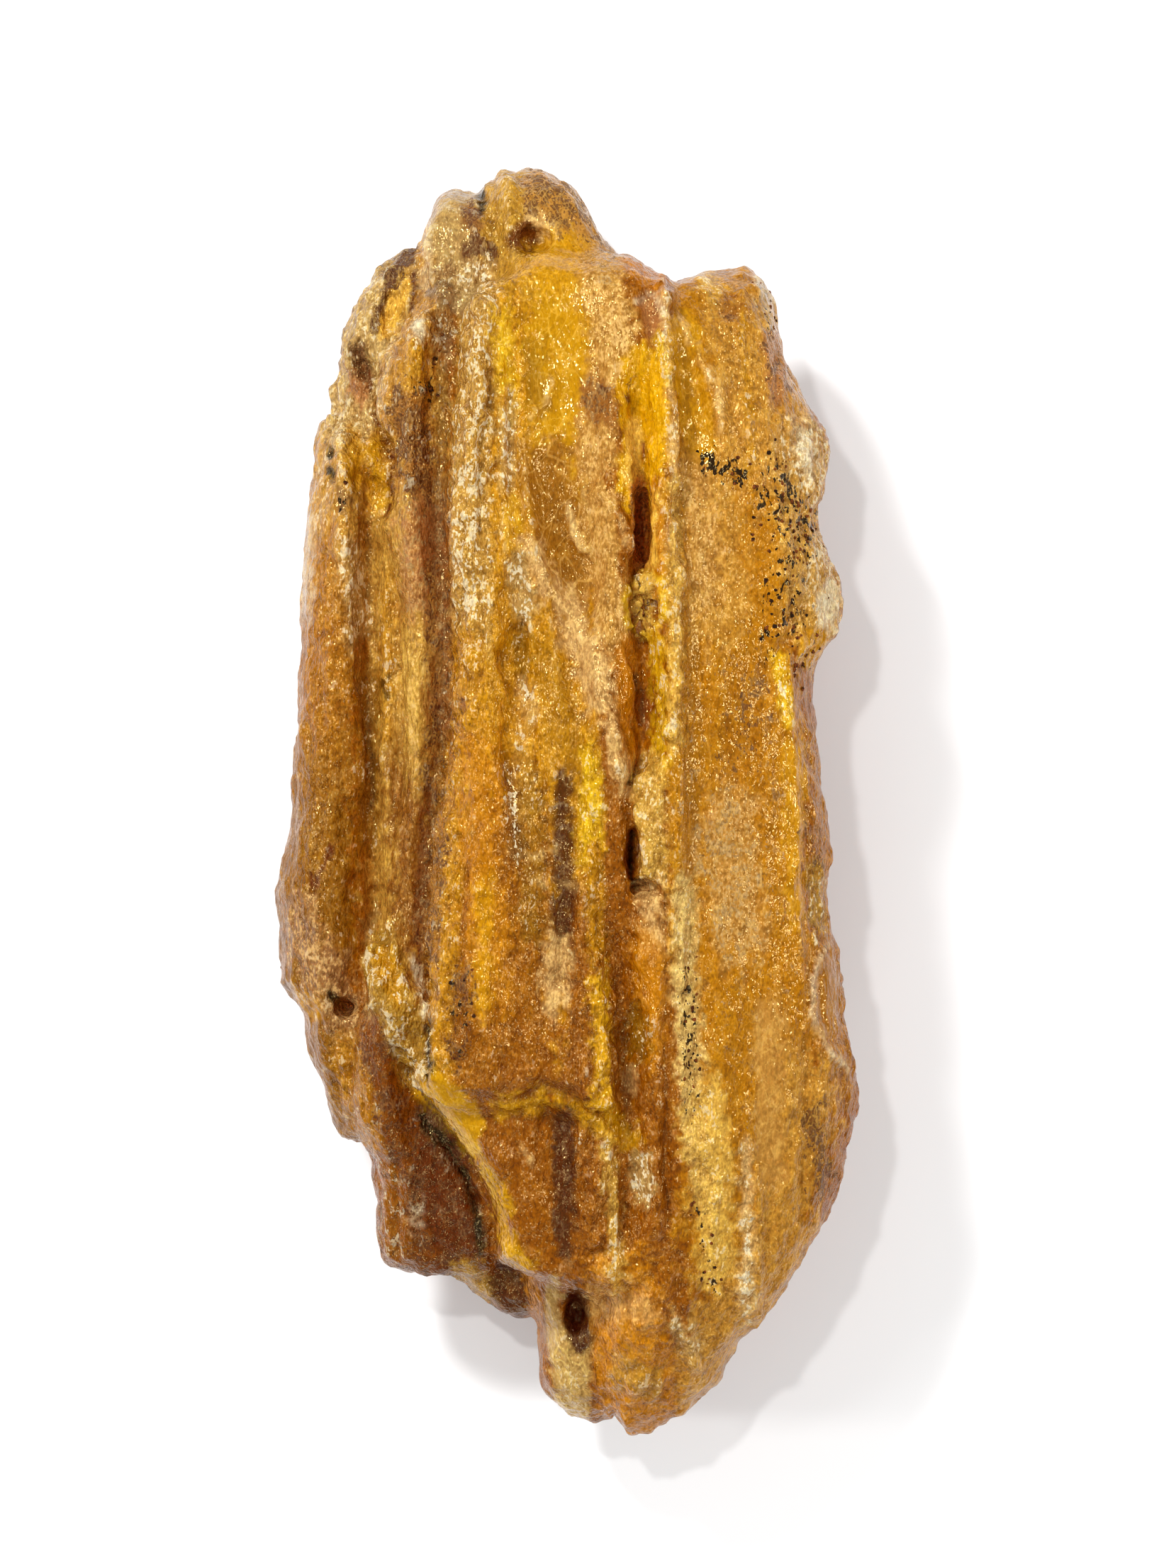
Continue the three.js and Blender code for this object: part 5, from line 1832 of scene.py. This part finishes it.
@dataclass(frozen=True)
class Studio:
    """A plain pale floor, soft lights and a camera that looks straight down."""

    view_centre: tuple[float, float] = (2.4, 1.9)
    view_height: float = 172.3
    view_level: float = 20.0
    distance: float = 1200.0
    sensor: float = 36.0
    floor_half: float = 900.0
    floor_shade: float = 0.86
    floor_roughness: float = 0.8
    sky_strength: float = 0.38
    lamps: tuple[Lamp, ...] = (
        Lamp("key", (-310, 430, 560), (120, 120), 5.6),
        Lamp("spark", (-120, 200, 760), (30, 30), 1.3),
        Lamp("right strip", (450, 60, 320), (40, 300), 1.7),
        Lamp("left strip", (-430, -60, 320), (40, 300), 0.9),
        Lamp("low strip", (40, -480, 360), (300, 40), 0.7),
    )

    def build(self) -> None:
        """Place the camera, the floor, the lights and the white sky."""
        self.place_camera()
        self.lay_floor()
        for lamp in self.lamps:
            lamp.build()
        world = bpy.data.worlds.new("studio")
        world.use_nodes = True
        sky = world.node_tree.nodes["Background"]
        sky.inputs["Color"].default_value = (1.0, 1.0, 1.0, 1)
        sky.inputs["Strength"].default_value = self.sky_strength
        bpy.context.scene.world = world
        bpy.context.scene.view_settings.view_transform = "Standard"

    def place_camera(self) -> None:
        """Make the camera and set it as the scene's."""
        data = bpy.data.cameras.new("camera")
        data.sensor_width = self.sensor
        data.lens = self.sensor * self.distance / self.view_height
        camera = bpy.data.objects.new("camera", data)
        x, y = self.view_centre
        camera.location = Vector((x, y, self.view_level + self.distance)) * MM
        bpy.context.scene.collection.objects.link(camera)
        bpy.context.scene.camera = camera

    def lay_floor(self) -> None:
        """Make the pale floor that the lump lies on."""
        half = self.floor_half * MM
        corners = [(-half, -half, 0), (half, -half, 0), (half, half, 0), (-half, half, 0)]
        mesh = bpy.data.meshes.new("floor")
        mesh.from_pydata(corners, [], [(0, 1, 2, 3)])
        floor = bpy.data.objects.new("floor", mesh)
        bpy.context.scene.collection.objects.link(floor)
        finish = bpy.data.materials.new("floor paper")
        finish.use_nodes = True
        shader = finish.node_tree.nodes["Principled BSDF"]
        shader.inputs["Base Color"].default_value = (*[self.floor_shade] * 3, 1)
        shader.inputs["Roughness"].default_value = self.floor_roughness
        mesh.materials.append(finish)


def main() -> None:
    """Build the scene round the frame and report each piece."""
    logging.basicConfig(level=logging.INFO, format="%(name)s: %(message)s")
    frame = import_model()
    Studio().build()
    grain = FlowGrain().build()
    lump = CopalLump().build(frame["nodes"][LUMP_NODE], ResinFinish().build(grain))
    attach(lump, BODY)
    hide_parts(LUMP_NODE)
    LOG.info("%s: %d faces", lump.name, len(lump.data.polygons))
    crumbs = BarkCrumbs().build(lump, BarkFinish().build(grain))
    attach(crumbs, BODY)
    LOG.info("%s: %d faces", crumbs.name, len(crumbs.data.polygons))


if __name__ == "__main__":
    main()
